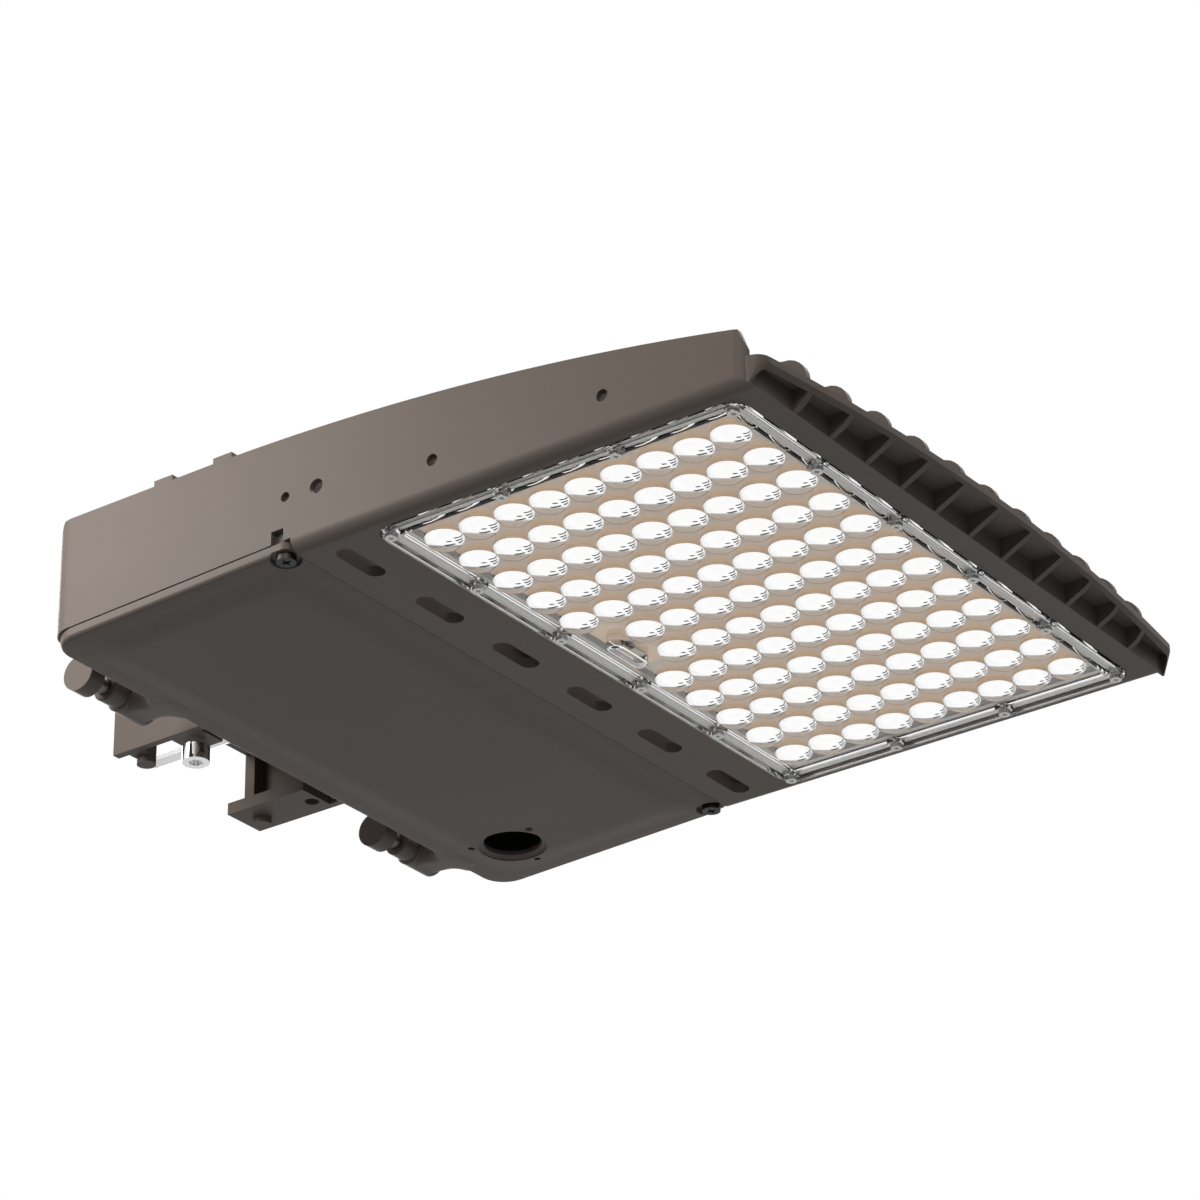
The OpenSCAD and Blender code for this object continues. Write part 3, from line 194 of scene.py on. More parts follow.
# Housing.
# One aluminium die casting: driver box, heat sink with fins, nose bar, air slots and
# hinge barrels, under a fine-textured powder coat in a warm bronze grey.
def as_piece(name, bm, sharp_angle=35):
    """Puts a finished bmesh into the scene with smooth shading between its sharp edges."""
    bmesh.ops.recalc_face_normals(bm, faces=bm.faces)
    for face in bm.faces:
        face.smooth = True
    for edge in bm.edges:
        if len(edge.link_faces) == 2 and edge.calc_face_angle(0) > radians(sharp_angle):
            edge.smooth = False
    mesh = bpy.data.meshes.new(name)
    bm.to_mesh(mesh)
    bm.free()
    piece = bpy.data.objects.new(name, mesh)
    scene.collection.objects.link(piece)
    weight = piece.modifiers.new("weighted_normals", "WEIGHTED_NORMAL")
    weight.keep_sharp = True
    return piece


def rounded_copy(node, width, segments=2):
    """A copy of a frame node with its flat faces joined up and its corners rounded."""
    same_place, flat_angle, corner_angle = 1e-5, 0.4, 31
    bm = bmesh.new()
    bm.from_mesh(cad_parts[node].data)
    bmesh.ops.remove_doubles(bm, verts=bm.verts, dist=same_place)
    bmesh.ops.dissolve_limit(bm, angle_limit=radians(flat_angle), verts=bm.verts, edges=bm.edges)
    corners = [e for e in bm.edges if len(e.link_faces) == 2
               and abs(e.calc_face_angle_signed(0)) > radians(corner_angle)]
    bmesh.ops.bevel(bm, geom=corners, offset=width, offset_type="OFFSET", segments=segments,
                    profile=0.5, affect="EDGES", clamp_overlap=True)
    return as_piece(node + "_shape", bm)


def dress(piece, node, body, material):
    """Gives a piece its finish and lets it stand for a frame node."""
    piece.data.materials.clear()
    piece.data.materials.append(material)
    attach(piece, body)
    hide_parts(node)


def finish_group(name, sockets):
    """An empty node group that takes the given sockets and puts out a finish."""
    group = bpy.data.node_groups.new(name, "ShaderNodeTree")
    for label, kind, value in sockets:
        socket = group.interface.new_socket(label, in_out="INPUT", socket_type=kind)
        socket.default_value = value
    for label, kind in (("Colour", "NodeSocketColor"), ("Roughness", "NodeSocketFloat"),
                        ("Height", "NodeSocketFloat")):
        group.interface.new_socket(label, in_out="OUTPUT", socket_type=kind)
    return group, group.nodes.new("NodeGroupInput"), group.nodes.new("NodeGroupOutput")


def finished(name, group, values, relief, depth, shader_values):
    """A material that takes its colour, roughness and relief from a finish's group."""
    material = bpy.data.materials.new(name)
    material.use_nodes = True
    tree = material.node_tree
    shader = tree.nodes["Principled BSDF"]
    for socket, value in shader_values.items():
        shader.inputs[socket].default_value = value
    finish = add_node(tree, "Group", values, node_tree=group)
    bump = add_node(tree, "Bump", {"Strength": relief, "Distance": depth})
    wire(tree,
         (finish, "Colour", shader, "Base Color"), (finish, "Roughness", shader, "Roughness"),
         (finish, "Height", bump, "Height"), (bump, "Normal", shader, "Normal"))
    return material


# Grained finish: fine relief, a slight drift of colour, and a varying roughness.
grain_group, grain_in, grain_out = finish_group(
    "grained_finish",
    [("Colour", "NodeSocketColor", (0.1, 0.1, 0.1, 1)), ("Drift", "NodeSocketColor", (0.12, 0.11, 0.1, 1)),
     ("Grain Scale", "NodeSocketFloat", 900), ("Roughness Low", "NodeSocketFloat", 0.42),
     ("Roughness High", "NodeSocketFloat", 0.55)])
grain_place = add_node(grain_group, "TexCoord")
grain_relief = add_node(grain_group, "TexNoise", {"Detail": 3})
grain_cloud = add_node(grain_group, "TexNoise", {"Scale": 9, "Detail": 4})
grain_tint = add_node(grain_group, "Mix", data_type="RGBA")
grain_rough = add_node(grain_group, "MapRange")
wire(grain_group,
     (grain_place, "Object", grain_relief, "Vector"), (grain_in, "Grain Scale", grain_relief, "Scale"),
     (grain_place, "Object", grain_cloud, "Vector"), (grain_cloud, "Fac", grain_tint, "Factor"),
     (grain_in, "Colour", grain_tint, "A"), (grain_in, "Drift", grain_tint, "B"),
     (grain_cloud, "Fac", grain_rough, "Value"), (grain_in, "Roughness Low", grain_rough, "To Min"),
     (grain_in, "Roughness High", grain_rough, "To Max"), (grain_tint, "Result", grain_out, "Colour"),
     (grain_rough, "Result", grain_out, "Roughness"), (grain_relief, "Fac", grain_out, "Height"))


def grained(name, colour, drift, grain, gloss, rough, relief):
    """Powder coat, lacquer, rubber or moulded plastic; rough is its least and greatest roughness."""
    values = {"Colour": (*colour, 1), "Drift": (*drift, 1), "Grain Scale": grain,
              "Roughness Low": rough[0], "Roughness High": rough[1]}
    return finished(name, grain_group, values, relief, depth=0.0004,
                    shader_values={"Specular IOR Level": gloss})


bronze_coat = grained("bronze_coat", (0.148, 0.119, 0.101), (0.156, 0.126, 0.107),
                      grain=900, gloss=0.25, rough=(0.42, 0.56), relief=0.05)
dress(rounded_copy("housing", width=0.0005), "housing", "fixture", bronze_coat)

# Driver door.
# Die-cast pan under the driver compartment: rounded border, crowned middle, seal groove,
# two rounded ears that turn on the hinge pins, and the sunk sensor opening.
face_z = -0.036
seam_x, seat_z, door_fall = 0.198, 0.006, radians(1.8)
hinge_x, hinge_z = 0.0402, 0.0065


def at_door(u, v, w):
    """A point given in millimetres along, across and above the door's own sloping plane."""
    u, v, w = u / 1000, v / 1000, w / 1000
    return Vector((seam_x + u * cos(door_fall) - w * sin(door_fall), v,
                   face_z + seat_z + u * sin(door_fall) + w * cos(door_fall)))


def outline(x0, x1, half, r0, r1, steps=8):
    """Rounded rectangle in the plan, counter-clockwise, with as many points at any size."""
    points = []
    for cx, cy, r, start in ((x1 - r1, half - r1, r1, 0), (x0 + r0, half - r0, r0, 90),
                             (x0 + r0, r0 - half, r0, 180), (x1 - r1, r1 - half, r1, 270)):
        for k in range(steps + 1):
            a = radians(start + 90 * k / steps)
            points.append((cx + r * cos(a), cy + r * sin(a)))
    return points


def skin(bm, rings, closed=False, first=True, last=True):
    """Joins rings of points with quads; the ends are capped unless left open or joined up."""
    loops = [[bm.verts.new(point) for point in ring] for ring in rings]
    count = len(loops[0])
    pairs = list(zip(loops, loops[1:])) + ([(loops[-1], loops[0])] if closed else [])
    for low, high in pairs:
        for k in range(count):
            bm.faces.new((low[k], low[(k + 1) % count], high[(k + 1) % count], high[k]))
    if first and not closed:
        bm.faces.new(loops[0][::-1])
    if last and not closed:
        bm.faces.new(loops[-1])
    return loops


def turned(bm, profile, place, segments=40, closed=False, first=True):
    """A body turned on a lathe: profile is radius and height, place maps its axis into the frame."""
    rings = [[place @ Vector((r * cos(2 * pi * k / segments), r * sin(2 * pi * k / segments), z))
              for k in range(segments)] for r, z in profile]
    return skin(bm, rings, closed, first)


def along_y(x, y, z):
    """A place whose lathe axis runs across the light."""
    return Matrix.Translation((x, y, z)) @ Matrix.Rotation(-pi / 2, 4, "X")


def eased(t):
    """A step from 0 to 1 that starts and ends level."""
    return 0.5 - 0.5 * cos(pi * t)


def cut(piece, bm):
    """Cuts the solids in a bmesh out of a piece, and keeps the result as its mesh."""
    bmesh.ops.recalc_face_normals(bm, faces=bm.faces)
    tool_mesh = bpy.data.meshes.new("tool")
    bm.to_mesh(tool_mesh)
    bm.free()
    tool = bpy.data.objects.new("tool", tool_mesh)
    scene.collection.objects.link(tool)
    step = piece.modifiers.new("cut", "BOOLEAN")
    step.solver = "EXACT"
    step.operation = "DIFFERENCE"
    step.object = tool
    made = bpy.data.meshes.new_from_object(piece.evaluated_get(bpy.context.evaluated_depsgraph_get()))
    piece.modifiers.clear()
    piece.data = made
    bpy.data.objects.remove(tool)


# The pan as rings in millimetres, from its inner floor over the rim and the seal groove,
# round the outer edge and on to the crown. A ring is its inset at the sides and rear, its
# inset at the seam, its corner radius and its height above the door's plane. The corners
# at the seam are tighter: seam_r on the outside, and a share of the others inside.
door_len, door_half = 138, 164.35
rim_z, pan_z, groove_z, edge_z, crown_z = -0.4, -3.2, -1.9, -3.4, -5.82
inner_r, outer_r, crown_r = 12, 14, 13
seam_r, seam_share, outside_front = 5, 0.6, 1
edge_r, edge_front, edge_steps, crown_steps = 2, 0.3, 6, 8
crown_side, crown_front = 6.6, 5
crown_side_run, crown_front_run, crown_depth = 18, 19, 1.58
door_rings = [(15.2, 12, inner_r, pan_z), (15.2, 12, inner_r, rim_z), (12.7, 9.5, inner_r, rim_z),
              (12.7, 9.5, inner_r, groove_z), (7.7, 4.5, inner_r, groove_z), (7.7, 4.5, inner_r, rim_z),
              (0, 0, outer_r, rim_z), (0, 0, outer_r, edge_z)]
for k in range(1, edge_steps + 1):
    turn = pi / 2 * k / edge_steps
    inset = edge_r * (1 - cos(turn))
    door_rings.append((inset, edge_front, outer_r - inset, edge_z - edge_r * sin(turn)))
door_rings.append((crown_side, crown_front, crown_r, crown_z))
for k in range(1, crown_steps + 1):
    run = k / crown_steps
    door_rings.append((crown_side + crown_side_run * run, crown_front + crown_front_run * run, crown_r,
                       crown_z - crown_depth * eased(run)))
door_bm = bmesh.new()
skin(door_bm, [[at_door(x, y, w) for x, y in outline(
    side - door_len, -front, door_half - side, r, seam_r if front < outside_front else r * seam_share)]
    for side, front, r, w in door_rings])
door_shape = as_piece("driver_door_shape", door_bm)

# The sunk sensor opening with its three screw holes, and the two counterbored holes of the
# captive screws, as turned cutters with radius and height.
through = 0.02
sensor_x, sensor_y, sensor_screw_ring = 0.0965, 0.127, 0.02
captive_x, captive_y = 0.1915, 0.15825
sensor_hole = [(0.0166, -through), (0.0166, -0.0038), (0.0158, -0.0031), (0.0146, -0.0031),
               (0.014, -0.0025), (0.014, through)]
sensor_screw_hole = [(0.002, -through), (0.002, -0.0042), (0.0016, -0.0038), (0.0016, through)]
captive_hole = [(0.0076, -through), (0.0076, -0.0005), (0.007, 0.0003), (0.007, 0.0022),
                (0.0027, 0.0022), (0.0027, 0.0036), (0.0048, 0.0036), (0.0048, through)]
cutters = bmesh.new()
sensor_place = Matrix.Translation((sensor_x, sensor_y, face_z)) @ Matrix.Rotation(-door_fall, 4, "Y")
turned(cutters, sensor_hole, sensor_place, segments=64)
for turn in (90, 210, 330):
    turned(cutters, sensor_screw_hole, sensor_place @ Matrix.Rotation(radians(turn), 4, "Z")
           @ Matrix.Translation((sensor_screw_ring, 0, 0)), segments=24)
for side in (-1, 1):
    turned(cutters, captive_hole, Matrix.Translation((captive_x, side * captive_y, face_z)))
cut(door_shape, cutters)

# The ears: a knuckle and the narrower collar beside it, bored for the pin, and a tongue
# that widens in a fillet, sinks into the pan and turns from square to round.
hinge_starts, barrel_len, knuckle_len, collar_len = (-0.1225, 0.0895), 0.028, 0.02, 0.01
bore_r = 0.00405
knuckle = [(bore_r, 0.0), (0.0072, 0.0), (0.008, 0.0008), (0.008, 0.0192), (0.0072, knuckle_len),
           (bore_r, knuckle_len)]
collar = [(bore_r, 0.0), (0.0062, 0.0), (0.00675, 0.0005), (0.00675, 0.0103), (bore_r, 0.0103)]
tongue_len, tongue_steps, half_steps = 0.0355, 24, 8
fillet_x, fillet_r, fillet_most = 0.0505, 0.0085, 0.00849
tongue_low, sink_run, sink_depth, sink_back = -0.0015, 0.0285, 0.00262, 0.0024
fall_x, fall_slope, least_high, side_drop = 0.053, 0.93, 0.0009, 0.0012
square_x, square_run, square_power, round_power = 0.047, 0.012, 8, 4
ears = bmesh.new()
for hinge_start in hinge_starts:
    y0 = hinge_start + barrel_len
    turned(ears, knuckle, along_y(hinge_x, y0, face_z + hinge_z), segments=48, closed=True)
    turned(ears, collar, along_y(hinge_x, y0 - collar_len, face_z + hinge_z), segments=48, closed=True)
    stations = []
    for k in range(tongue_steps + 1):
        x = hinge_x + tongue_len * k / tongue_steps
        reach = min(max(0, x - fillet_x), fillet_most)
        flare = fillet_r - sqrt(fillet_r ** 2 - reach ** 2)
        sink = (x - hinge_x) / sink_run
        low = tongue_low - sink_depth * eased(min(1, sink)) + sink_back * max(0, sink - 1)
        high = max(least_high, hinge_z - max(0, x - fall_x) * fall_slope)
        rounding = min(1, max(0, (x - square_x) / square_run))
        power = square_power - (square_power - round_power) * rounding
        side_rise = high - side_drop - low
        ring = []
        for j in range(-half_steps, half_steps + 1):
            t = j / half_steps
            ring.append(Vector((x, y0 + knuckle_len / 2 + t * (knuckle_len / 2 + flare),
                                face_z + low + side_rise * abs(t) ** power)))
        ring += [Vector((x, y0 + knuckle_len + flare, face_z + high)),
                 Vector((x, y0 - flare, face_z + high))]
        stations.append(ring)
    skin(ears, stations)
ear_mesh = bpy.data.meshes.new("ears")
ears.to_mesh(ear_mesh)
ears.free()
joined = bmesh.new()
joined.from_mesh(door_shape.data)
bpy.data.objects.remove(door_shape)
joined.from_mesh(ear_mesh)
bmesh.ops.remove_doubles(joined, verts=joined.verts, dist=1e-7)
door_shape = as_piece("driver_door_shape", joined, sharp_angle=40)
dress(door_shape, "driver_door", "door", bronze_coat)


# Door seal.
# Black foamed silicone strip, laid into the groove of the door pan.
def repaint(node, material):
    """A frame node whose shape is right keeps its mesh and gets its finish."""
    node_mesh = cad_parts[node].data
    if not node_mesh.materials:
        node_mesh.materials.append(material)
    for k in range(len(node_mesh.materials)):
        node_mesh.materials[k] = material


seal_rubber = grained("seal_rubber", (0.018, 0.018, 0.018), (0.03, 0.03, 0.03),
                      grain=700, gloss=0.3, rough=(0.7, 0.9), relief=0.2)
repaint("door_gasket", seal_rubber)

# Captive screws and their rings.
# Blackened steel screws with a cross recess that hold the door at the seam; a
# zinc-plated ring keeps each in the door when it is undone.
metal_group, metal_in, metal_out = finish_group(
    "drawn_metal",
    [("Light", "NodeSocketColor", (0.8, 0.8, 0.8, 1)), ("Dark", "NodeSocketColor", (0.5, 0.5, 0.5, 1)),
     ("Lines", "NodeSocketFloat", 60), ("Stretch", "NodeSocketVector", (1, 1, 12)),
     ("Roughness Low", "NodeSocketFloat", 0.15), ("Roughness High", "NodeSocketFloat", 0.35)])
metal_place = add_node(metal_group, "TexCoord")
metal_stretch = add_node(metal_group, "VectorMath", operation="MULTIPLY")
metal_lines = add_node(metal_group, "TexNoise", {"Detail": 4})
metal_tint = add_node(metal_group, "Mix", data_type="RGBA")
metal_rough = add_node(metal_group, "MapRange")
wire(metal_group,
     (metal_place, "Object", metal_stretch, 0), (metal_in, "Stretch", metal_stretch, 1),
     (metal_stretch, "Vector", metal_lines, "Vector"), (metal_in, "Lines", metal_lines, "Scale"),
     (metal_lines, "Fac", metal_tint, "Factor"), (metal_in, "Dark", metal_tint, "A"),
     (metal_in, "Light", metal_tint, "B"), (metal_lines, "Fac", metal_rough, "Value"),
     (metal_in, "Roughness Low", metal_rough, "To Min"),
     (metal_in, "Roughness High", metal_rough, "To Max"), (metal_tint, "Result", metal_out, "Colour"),
     (metal_rough, "Result", metal_out, "Roughness"), (metal_lines, "Fac", metal_out, "Height"))


def bare_metal(name, light, dark, lines, stretch, rough, relief=0.03):
    """Plated, drawn or brushed metal; rough is its least and greatest roughness."""
    values = {"Light": (*light, 1), "Dark": (*dark, 1), "Lines": lines, "Stretch": stretch,
              "Roughness Low": rough[0], "Roughness High": rough[1]}
    return finished(name, metal_group, values, relief, depth=0.0002, shader_values={"Metallic": 1})


dark_steel = bare_metal("dark_steel", (0.055, 0.053, 0.051), (0.035, 0.034, 0.033),
                        lines=300, stretch=(1, 1, 1), rough=(0.35, 0.55))
zinc_plate = bare_metal("zinc_plate", (0.62, 0.62, 0.6), (0.42, 0.42, 0.41),
                        lines=200, stretch=(1, 1, 1), rough=(0.25, 0.45))
for side in ("left", "right"):
    screw_shape = rounded_copy("captive_screw_" + side, width=0.00025)
    dress(screw_shape, "captive_screw_" + side, "catch_" + side, dark_steel)
    repaint("retainer_" + side, zinc_plate)

# Hinge pins.
# Plain steel pins pressed into the housing's barrels; the door turns on them.
pin_steel = bare_metal("pin_steel", (0.17, 0.165, 0.16), (0.1, 0.098, 0.095),
                       lines=90, stretch=(1, 14, 1), rough=(0.3, 0.5))
dress(rounded_copy("hinge_pins", width=0.0004), "hinge_pins", "fixture", pin_steel)

# Mounting arm, its seal and its screws.
# Two aluminium cheeks, a top plate, a plate at the pole and one at the housing, welded
# into a short channel that is open underneath, under a bronze powder coat.
for plate in ("arm_cheek_left", "arm_cheek_right", "arm_top_plate", "arm_pole_plate", "arm_end_plate"):
    dress(rounded_copy(plate, width=0.0004), plate, "fixture", bronze_coat)
repaint("arm_gasket", seal_rubber)
repaint("arm_screws", zinc_plate)

# Tie rods, washers and nuts.
# Bright plated rods that stand out of the pole face and are held by nuts inside.
rod_plate = bare_metal("rod_plate", (0.86, 0.86, 0.86), (0.7, 0.7, 0.7),
                       lines=60, stretch=(14, 1, 1), rough=(0.06, 0.16))
dress(rounded_copy("tie_rods", width=0.0007, segments=1), "tie_rods", "fixture", rod_plate)
repaint("rod_washers", zinc_plate)
repaint("rod_nuts", zinc_plate)

# Lock screw and lock nut.
# Chromed cap screw with a hexagon socket in the arm's left lug, and its zinc-plated nut.
chrome = bare_metal("chrome", (0.9, 0.9, 0.9), (0.8, 0.8, 0.8),
                    lines=40, stretch=(1, 1, 6), rough=(0.03, 0.08), relief=0.01)
dress(rounded_copy("lock_screw", width=0.0006, segments=3), "lock_screw", "lock", chrome)
dress(rounded_copy("lock_nut", width=0.0004), "lock_nut", "fixture", zinc_plate)

# Supply cable entry.
# Black rubber bush pressed through arm and rear wall.
repaint("cable_grommet", seal_rubber)

# Lens plate.
# One injection-moulded clear acrylic plate: a dome over each light source, a double
# frame round the edge, bosses for the screws and an oblong cover over the lead's entry.

# Sizes in millimetres; heights count up from the housing's underside.
lens_x0, lens_x1, lens_half, lens_r, lens_least_r = 237.0, 424.0, 156.25, 9, 1.2
lens_cx = (lens_x0 + lens_x1) / 2
plate_front, plate_back, plate_chamfer = 0.9, 3.3, 0.2
bead_inset, bead_r, bead_steps = 8.6, 1.5, 10
lip_half, lip_rise, lip_steps = 1.25, 2.5, 12
dome_rows, dome_columns, dome_pitch_x, dome_pitch_y = 9, 12, 18.46, 24
dome_r, dome_rise, dome_steps = 8.7, 5, 12
wire_row, wire_columns = 0, (5, 6)
cover_half_x, cover_half_y, cover_r, cover_steps = 4.5, 13, 4.4, 7
screw_x, screw_y, screws_long, screws_short = 87.9, 150.65, 6, 4


def mm(x, y, z):
    """A point of the plate, given in millimetres."""
    return Vector((x / 1000, y / 1000, face_z + z / 1000))


def metres(profile):
    """A lathe profile of the plate, given in millimetres."""
    return [(r / 1000, z / 1000) for r, z in profile]


def plate_place(x, y):
    """A place on the plate whose lathe axis stands upright."""
    return Matrix.Translation((x / 1000, y / 1000, face_z))


bead_turns = [pi * k / bead_steps for k in range(bead_steps + 1)]
lip_turns = [pi * k / lip_steps for k in range(lip_steps + 1)]
plate_profile = [(bead_inset + bead_r * cos(a), plate_front - bead_r * sin(a)) for a in bead_turns]
plate_profile += [(lip_half + lip_half * cos(a), plate_front - lip_rise * sin(a)) for a in lip_turns]
plate_profile += [(0.0, plate_back - plate_chamfer), (plate_chamfer, plate_back)]
dome_turns = [pi / 2 * k / dome_steps for k in range(dome_steps)]
dome_profile = metres([(dome_r * cos(a), plate_front - dome_rise * sin(a)) for a in dome_turns])
cover_front = [(0, plate_front), (0.1, 0.6), (0.3, -2.4), (0.7, -2.9), (1.3, -3.1)]
cover_back = [(1.1, plate_back), (1.1, 0.2), (1.4, -1.6), (2.0, -2.0)]
boss_profile = metres([(1.6, 1.2), (4.1, 1.2), (4.1, 0.2), (3.8, -0.6), (3.4, -0.9), (1.6, -0.9)])
plate_bm = bmesh.new()


def ring_edges(loop):
    """The plate's edges along a ring of its points."""
    return [plate_bm.edges.get((loop[k], loop[k - 1])) for k in range(len(loop))]


frame_rings = []
for inset, z in plate_profile:
    corner_r = max(lens_r - inset, lens_least_r)
    frame_rings.append([mm(x, y, z) for x, y in outline(
        lens_x0 + inset, lens_x1 - inset, lens_half - inset, corner_r, corner_r)])
frame_loops = skin(plate_bm, frame_rings, first=False, last=False)
front_edges, back_edges = ring_edges(frame_loops[0]), ring_edges(frame_loops[-1])
for i in range(dome_rows):
    for j in range(dome_columns):
        if i == wire_row and j in wire_columns:
            continue
        x = lens_cx + (i - (dome_rows - 1) / 2) * dome_pitch_x
        y = (j - (dome_columns - 1) / 2) * dome_pitch_y
        front_edges += ring_edges(turned(plate_bm, dome_profile, plate_place(x, y), first=False)[0])
wire_x = lens_cx + (wire_row - (dome_rows - 1) / 2) * dome_pitch_x
for cover_profile, edges in ((cover_front, front_edges), (cover_back, back_edges)):
    cover_rings = [[mm(x, y, z) for x, y in outline(
        wire_x - cover_half_x + inset, wire_x + cover_half_x - inset, cover_half_y - inset,
        cover_r - inset, cover_r - inset, cover_steps)] for inset, z in cover_profile]
    edges += ring_edges(skin(plate_bm, cover_rings, first=False)[0])
bmesh.ops.triangle_fill(plate_bm, edges=front_edges, use_beauty=True)
bmesh.ops.triangle_fill(plate_bm, edges=back_edges, use_beauty=True)
bmesh.ops.recalc_face_normals(plate_bm, faces=plate_bm.faces)
boss_places = [(lens_cx + side * screw_x, screw_y * (2 * j / (screws_long - 1) - 1))
               for j in range(screws_long) for side in (-1, 1)]
boss_places += [(lens_cx + screw_x * (2 * i / (screws_short - 1) - 1), side * screw_y)
                for i in range(1, screws_short - 1) for side in (-1, 1)]
for x, y in boss_places:
    turned(plate_bm, boss_profile, plate_place(x, y), segments=28, closed=True)
plate_shape = as_piece("lens_plate_shape", plate_bm)

# Clear acrylic with a faint tint and a breath of haze in places.
clear_acrylic = bpy.data.materials.new("clear_acrylic")
clear_acrylic.use_nodes = True
acrylic_tree = clear_acrylic.node_tree
acrylic = acrylic_tree.nodes["Principled BSDF"]
acrylic.inputs["Transmission Weight"].default_value = 1.0
acrylic.inputs["IOR"].default_value = 1.49
acrylic_cloud = add_node(acrylic_tree, "TexNoise", {"Scale": 40})
acrylic_tint = add_node(acrylic_tree, "Mix", {"A": (0.985, 0.985, 0.98, 1), "B": (1, 1, 1, 1)},
                        data_type="RGBA")
acrylic_haze = add_node(acrylic_tree, "MapRange", {"To Min": 0.0, "To Max": 0.03})
wire(acrylic_tree,
     (acrylic_cloud, "Fac", acrylic_tint, "Factor"), (acrylic_tint, "Result", acrylic, "Base Color"),
     (acrylic_cloud, "Fac", acrylic_haze, "Value"), (acrylic_haze, "Result", acrylic, "Roughness"))
dress(plate_shape, "lens_plate", "fixture", clear_acrylic)

# Lens gasket and lens screws.
# Pale silicone ring behind the plate's frame, and small plated screws through its bosses.
pale_silicone = grained("pale_silicone", (0.55, 0.54, 0.51), (0.62, 0.61, 0.58),
                        grain=500, gloss=0.3, rough=(0.6, 0.8), relief=0.1)
repaint("lens_gasket", pale_silicone)
dress(rounded_copy("lens_screws", width=0.0003), "lens_screws", "fixture", zinc_plate)

# Light board with its sources, screws, plug and thermal pad.
# Aluminium board under a pale lacquer, with the sources' light painted on it as a warm glow round each
# one, yellow phosphor blocks, a white nylon plug, and a blue-grey silicone pad between board and heat
# sink.
# Painted light: the board's colour turns to a warm tone close to each source, as if lit by it.
painted_glow_r, painted_glow_end_r, painted_glow_tone = 0.007, 0.0135, (0.9, 0.64, 0.42, 1)
half_cell_x, half_cell_y = dome_pitch_x / 2000, dome_pitch_y / 2000
board_lacquer_and_glow = grained("board_lacquer_and_glow", (0.49, 0.43, 0.37), (0.58, 0.51, 0.44),
                        grain=260, gloss=0.4, rough=(0.35, 0.5), relief=0.03)
board_tree = board_lacquer_and_glow.node_tree
board_place = add_node(board_tree, "TexCoord")
board_shift = add_node(
    board_tree, "VectorMath", {1: (lens_cx / 1000, half_cell_y, 0)}, operation="SUBTRACT")
board_cell = add_node(
    board_tree, "VectorMath", {1: (half_cell_x, half_cell_y, 1), 2: (-half_cell_x, -half_cell_y, -1)},
    operation="WRAP")
board_flat = add_node(board_tree, "VectorMath", {1: (1, 1, 0)}, operation="MULTIPLY")
board_reach = add_node(board_tree, "VectorMath", operation="LENGTH")
# The painted glow is full near each source and fades out towards the corners of its cell.
board_painted_glow = add_node(
    board_tree, "MapRange", {"From Min": painted_glow_r, "From Max": painted_glow_end_r, "To Min": 1.0, "To Max": 0.0},
    interpolation_type="SMOOTHSTEP")
board_glow_mix = add_node(board_tree, "Mix", {"B": painted_glow_tone}, data_type="RGBA")
board_coat = next(item for item in board_tree.nodes if item.type == "GROUP")
wire(board_tree,
     (board_place, "Object", board_shift, 0), (board_shift, "Vector", board_cell, 0),
     (board_cell, "Vector", board_flat, 0), (board_flat, "Vector", board_reach, 0),
     (board_reach, "Value", board_painted_glow, "Value"), (board_painted_glow, "Result", board_glow_mix, "Factor"),
     (board_coat, "Colour", board_glow_mix, "A"),
     (board_glow_mix, "Result", board_tree.nodes["Principled BSDF"], "Base Color"))
phosphor = grained("phosphor", (0.72, 0.5, 0.14), (0.82, 0.62, 0.22),
                   grain=900, gloss=0.4, rough=(0.4, 0.6), relief=0.1)
plug_nylon = grained("plug_nylon", (0.62, 0.6, 0.55), (0.7, 0.68, 0.63),
                     grain=400, gloss=0.5, rough=(0.4, 0.5), relief=0.05)
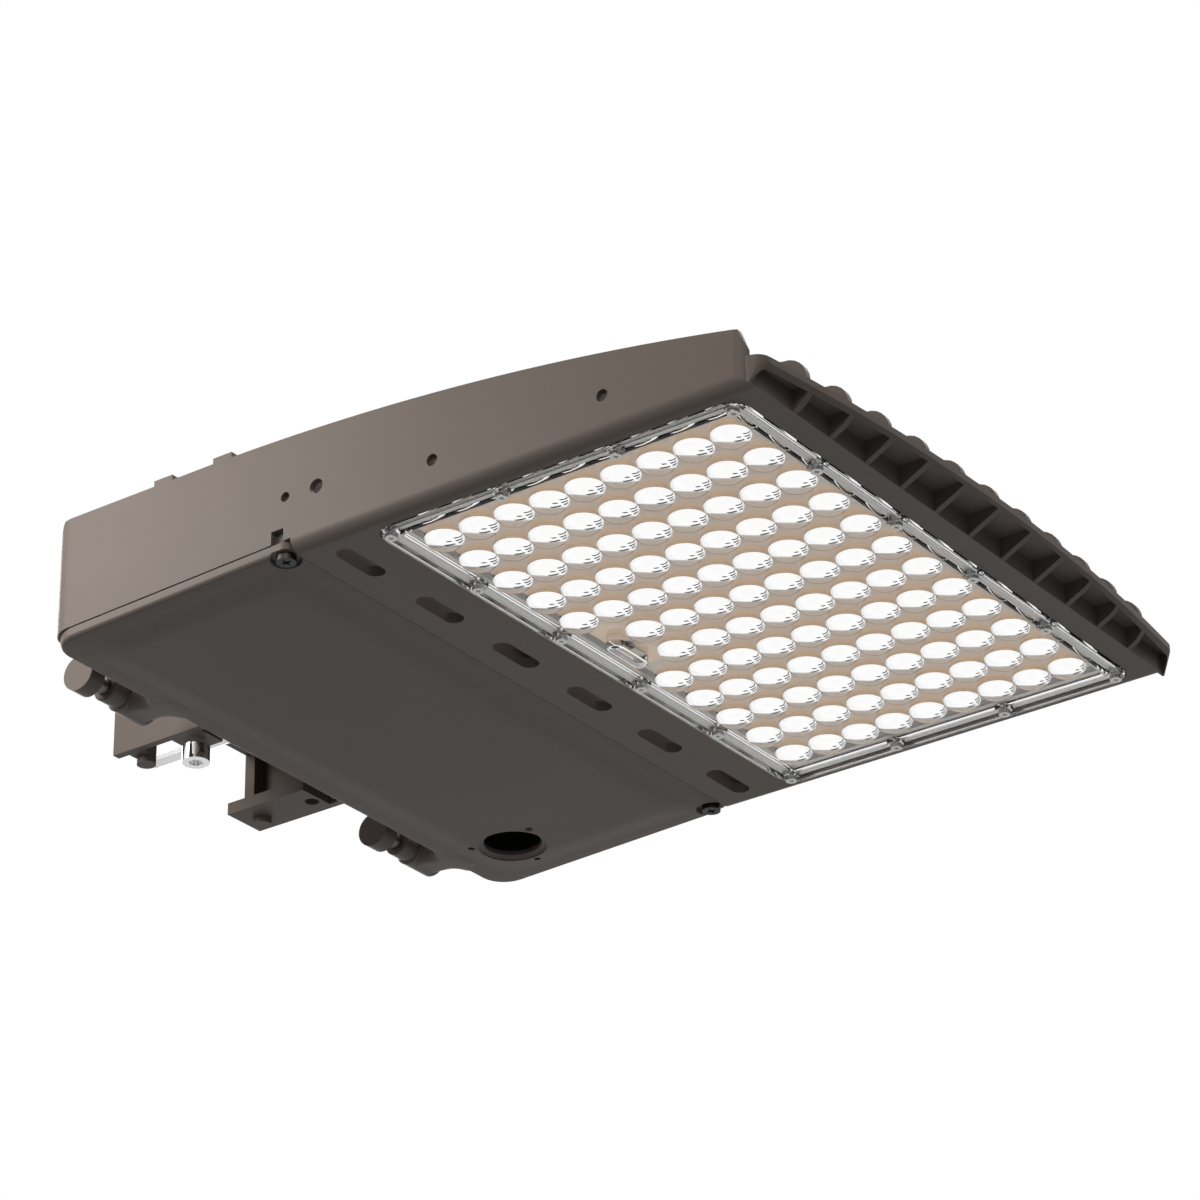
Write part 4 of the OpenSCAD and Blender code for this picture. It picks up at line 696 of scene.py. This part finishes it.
pad_silicone = grained("pad_silicone", (0.2, 0.28, 0.34), (0.24, 0.33, 0.39),
                       grain=300, gloss=0.2, rough=(0.7, 0.9), relief=0.1)
repaint("led_board", board_lacquer_and_glow)
repaint("led_chips", phosphor)
repaint("board_screws", zinc_plate)
repaint("board_connector", plug_nylon)
repaint("thermal_pad", pad_silicone)

# Driver, surge protector and terminal block in the compartment.
# Anodised driver case on plated screws, cream surge block under a steel strap, and a
# cream terminal block with brass screws.
driver_case = bare_metal("driver_case", (0.6, 0.6, 0.61), (0.48, 0.48, 0.49),
                         lines=120, stretch=(10, 1, 1), rough=(0.35, 0.5))
surge_shell = grained("surge_shell", (0.6, 0.57, 0.49), (0.68, 0.65, 0.57),
                      grain=300, gloss=0.5, rough=(0.4, 0.5), relief=0.06)
brass = bare_metal("brass", (0.78, 0.6, 0.3), (0.6, 0.44, 0.2),
                   lines=200, stretch=(1, 1, 1), rough=(0.25, 0.4))
repaint("led_driver", driver_case)
repaint("surge_protector", surge_shell)
repaint("terminal_block", surge_shell)
repaint("terminal_screws", brass)
for plated in ("surge_bracket", "driver_screws", "surge_screws", "block_screws"):
    repaint(plated, zinc_plate)

# Leads, ground screw and the duct's bush.
# Silicone-covered leads in black, white, red and green, a green-passivated ground screw,
# and a black rubber bush where the board's lead leaves its duct.
for lead, sleeve, colour, drift in (
        ("led_lead", "black_sleeve", (0.025, 0.025, 0.026), (0.04, 0.04, 0.04)),
        ("driver_input_lead", "white_sleeve", (0.7, 0.69, 0.66), (0.78, 0.77, 0.74)),
        ("surge_lead", "red_sleeve", (0.36, 0.04, 0.03), (0.42, 0.055, 0.04)),
        ("ground_lead", "green_sleeve", (0.05, 0.26, 0.07), (0.065, 0.31, 0.09))):
    repaint(lead, grained(sleeve, colour, drift, grain=900, gloss=0.4, rough=(0.45, 0.6), relief=0.08))
green_zinc = bare_metal("green_zinc", (0.2, 0.42, 0.2), (0.12, 0.3, 0.13),
                        lines=200, stretch=(1, 1, 1), rough=(0.3, 0.45))
repaint("ground_screw", green_zinc)
repaint("lead_grommet", seal_rubber)
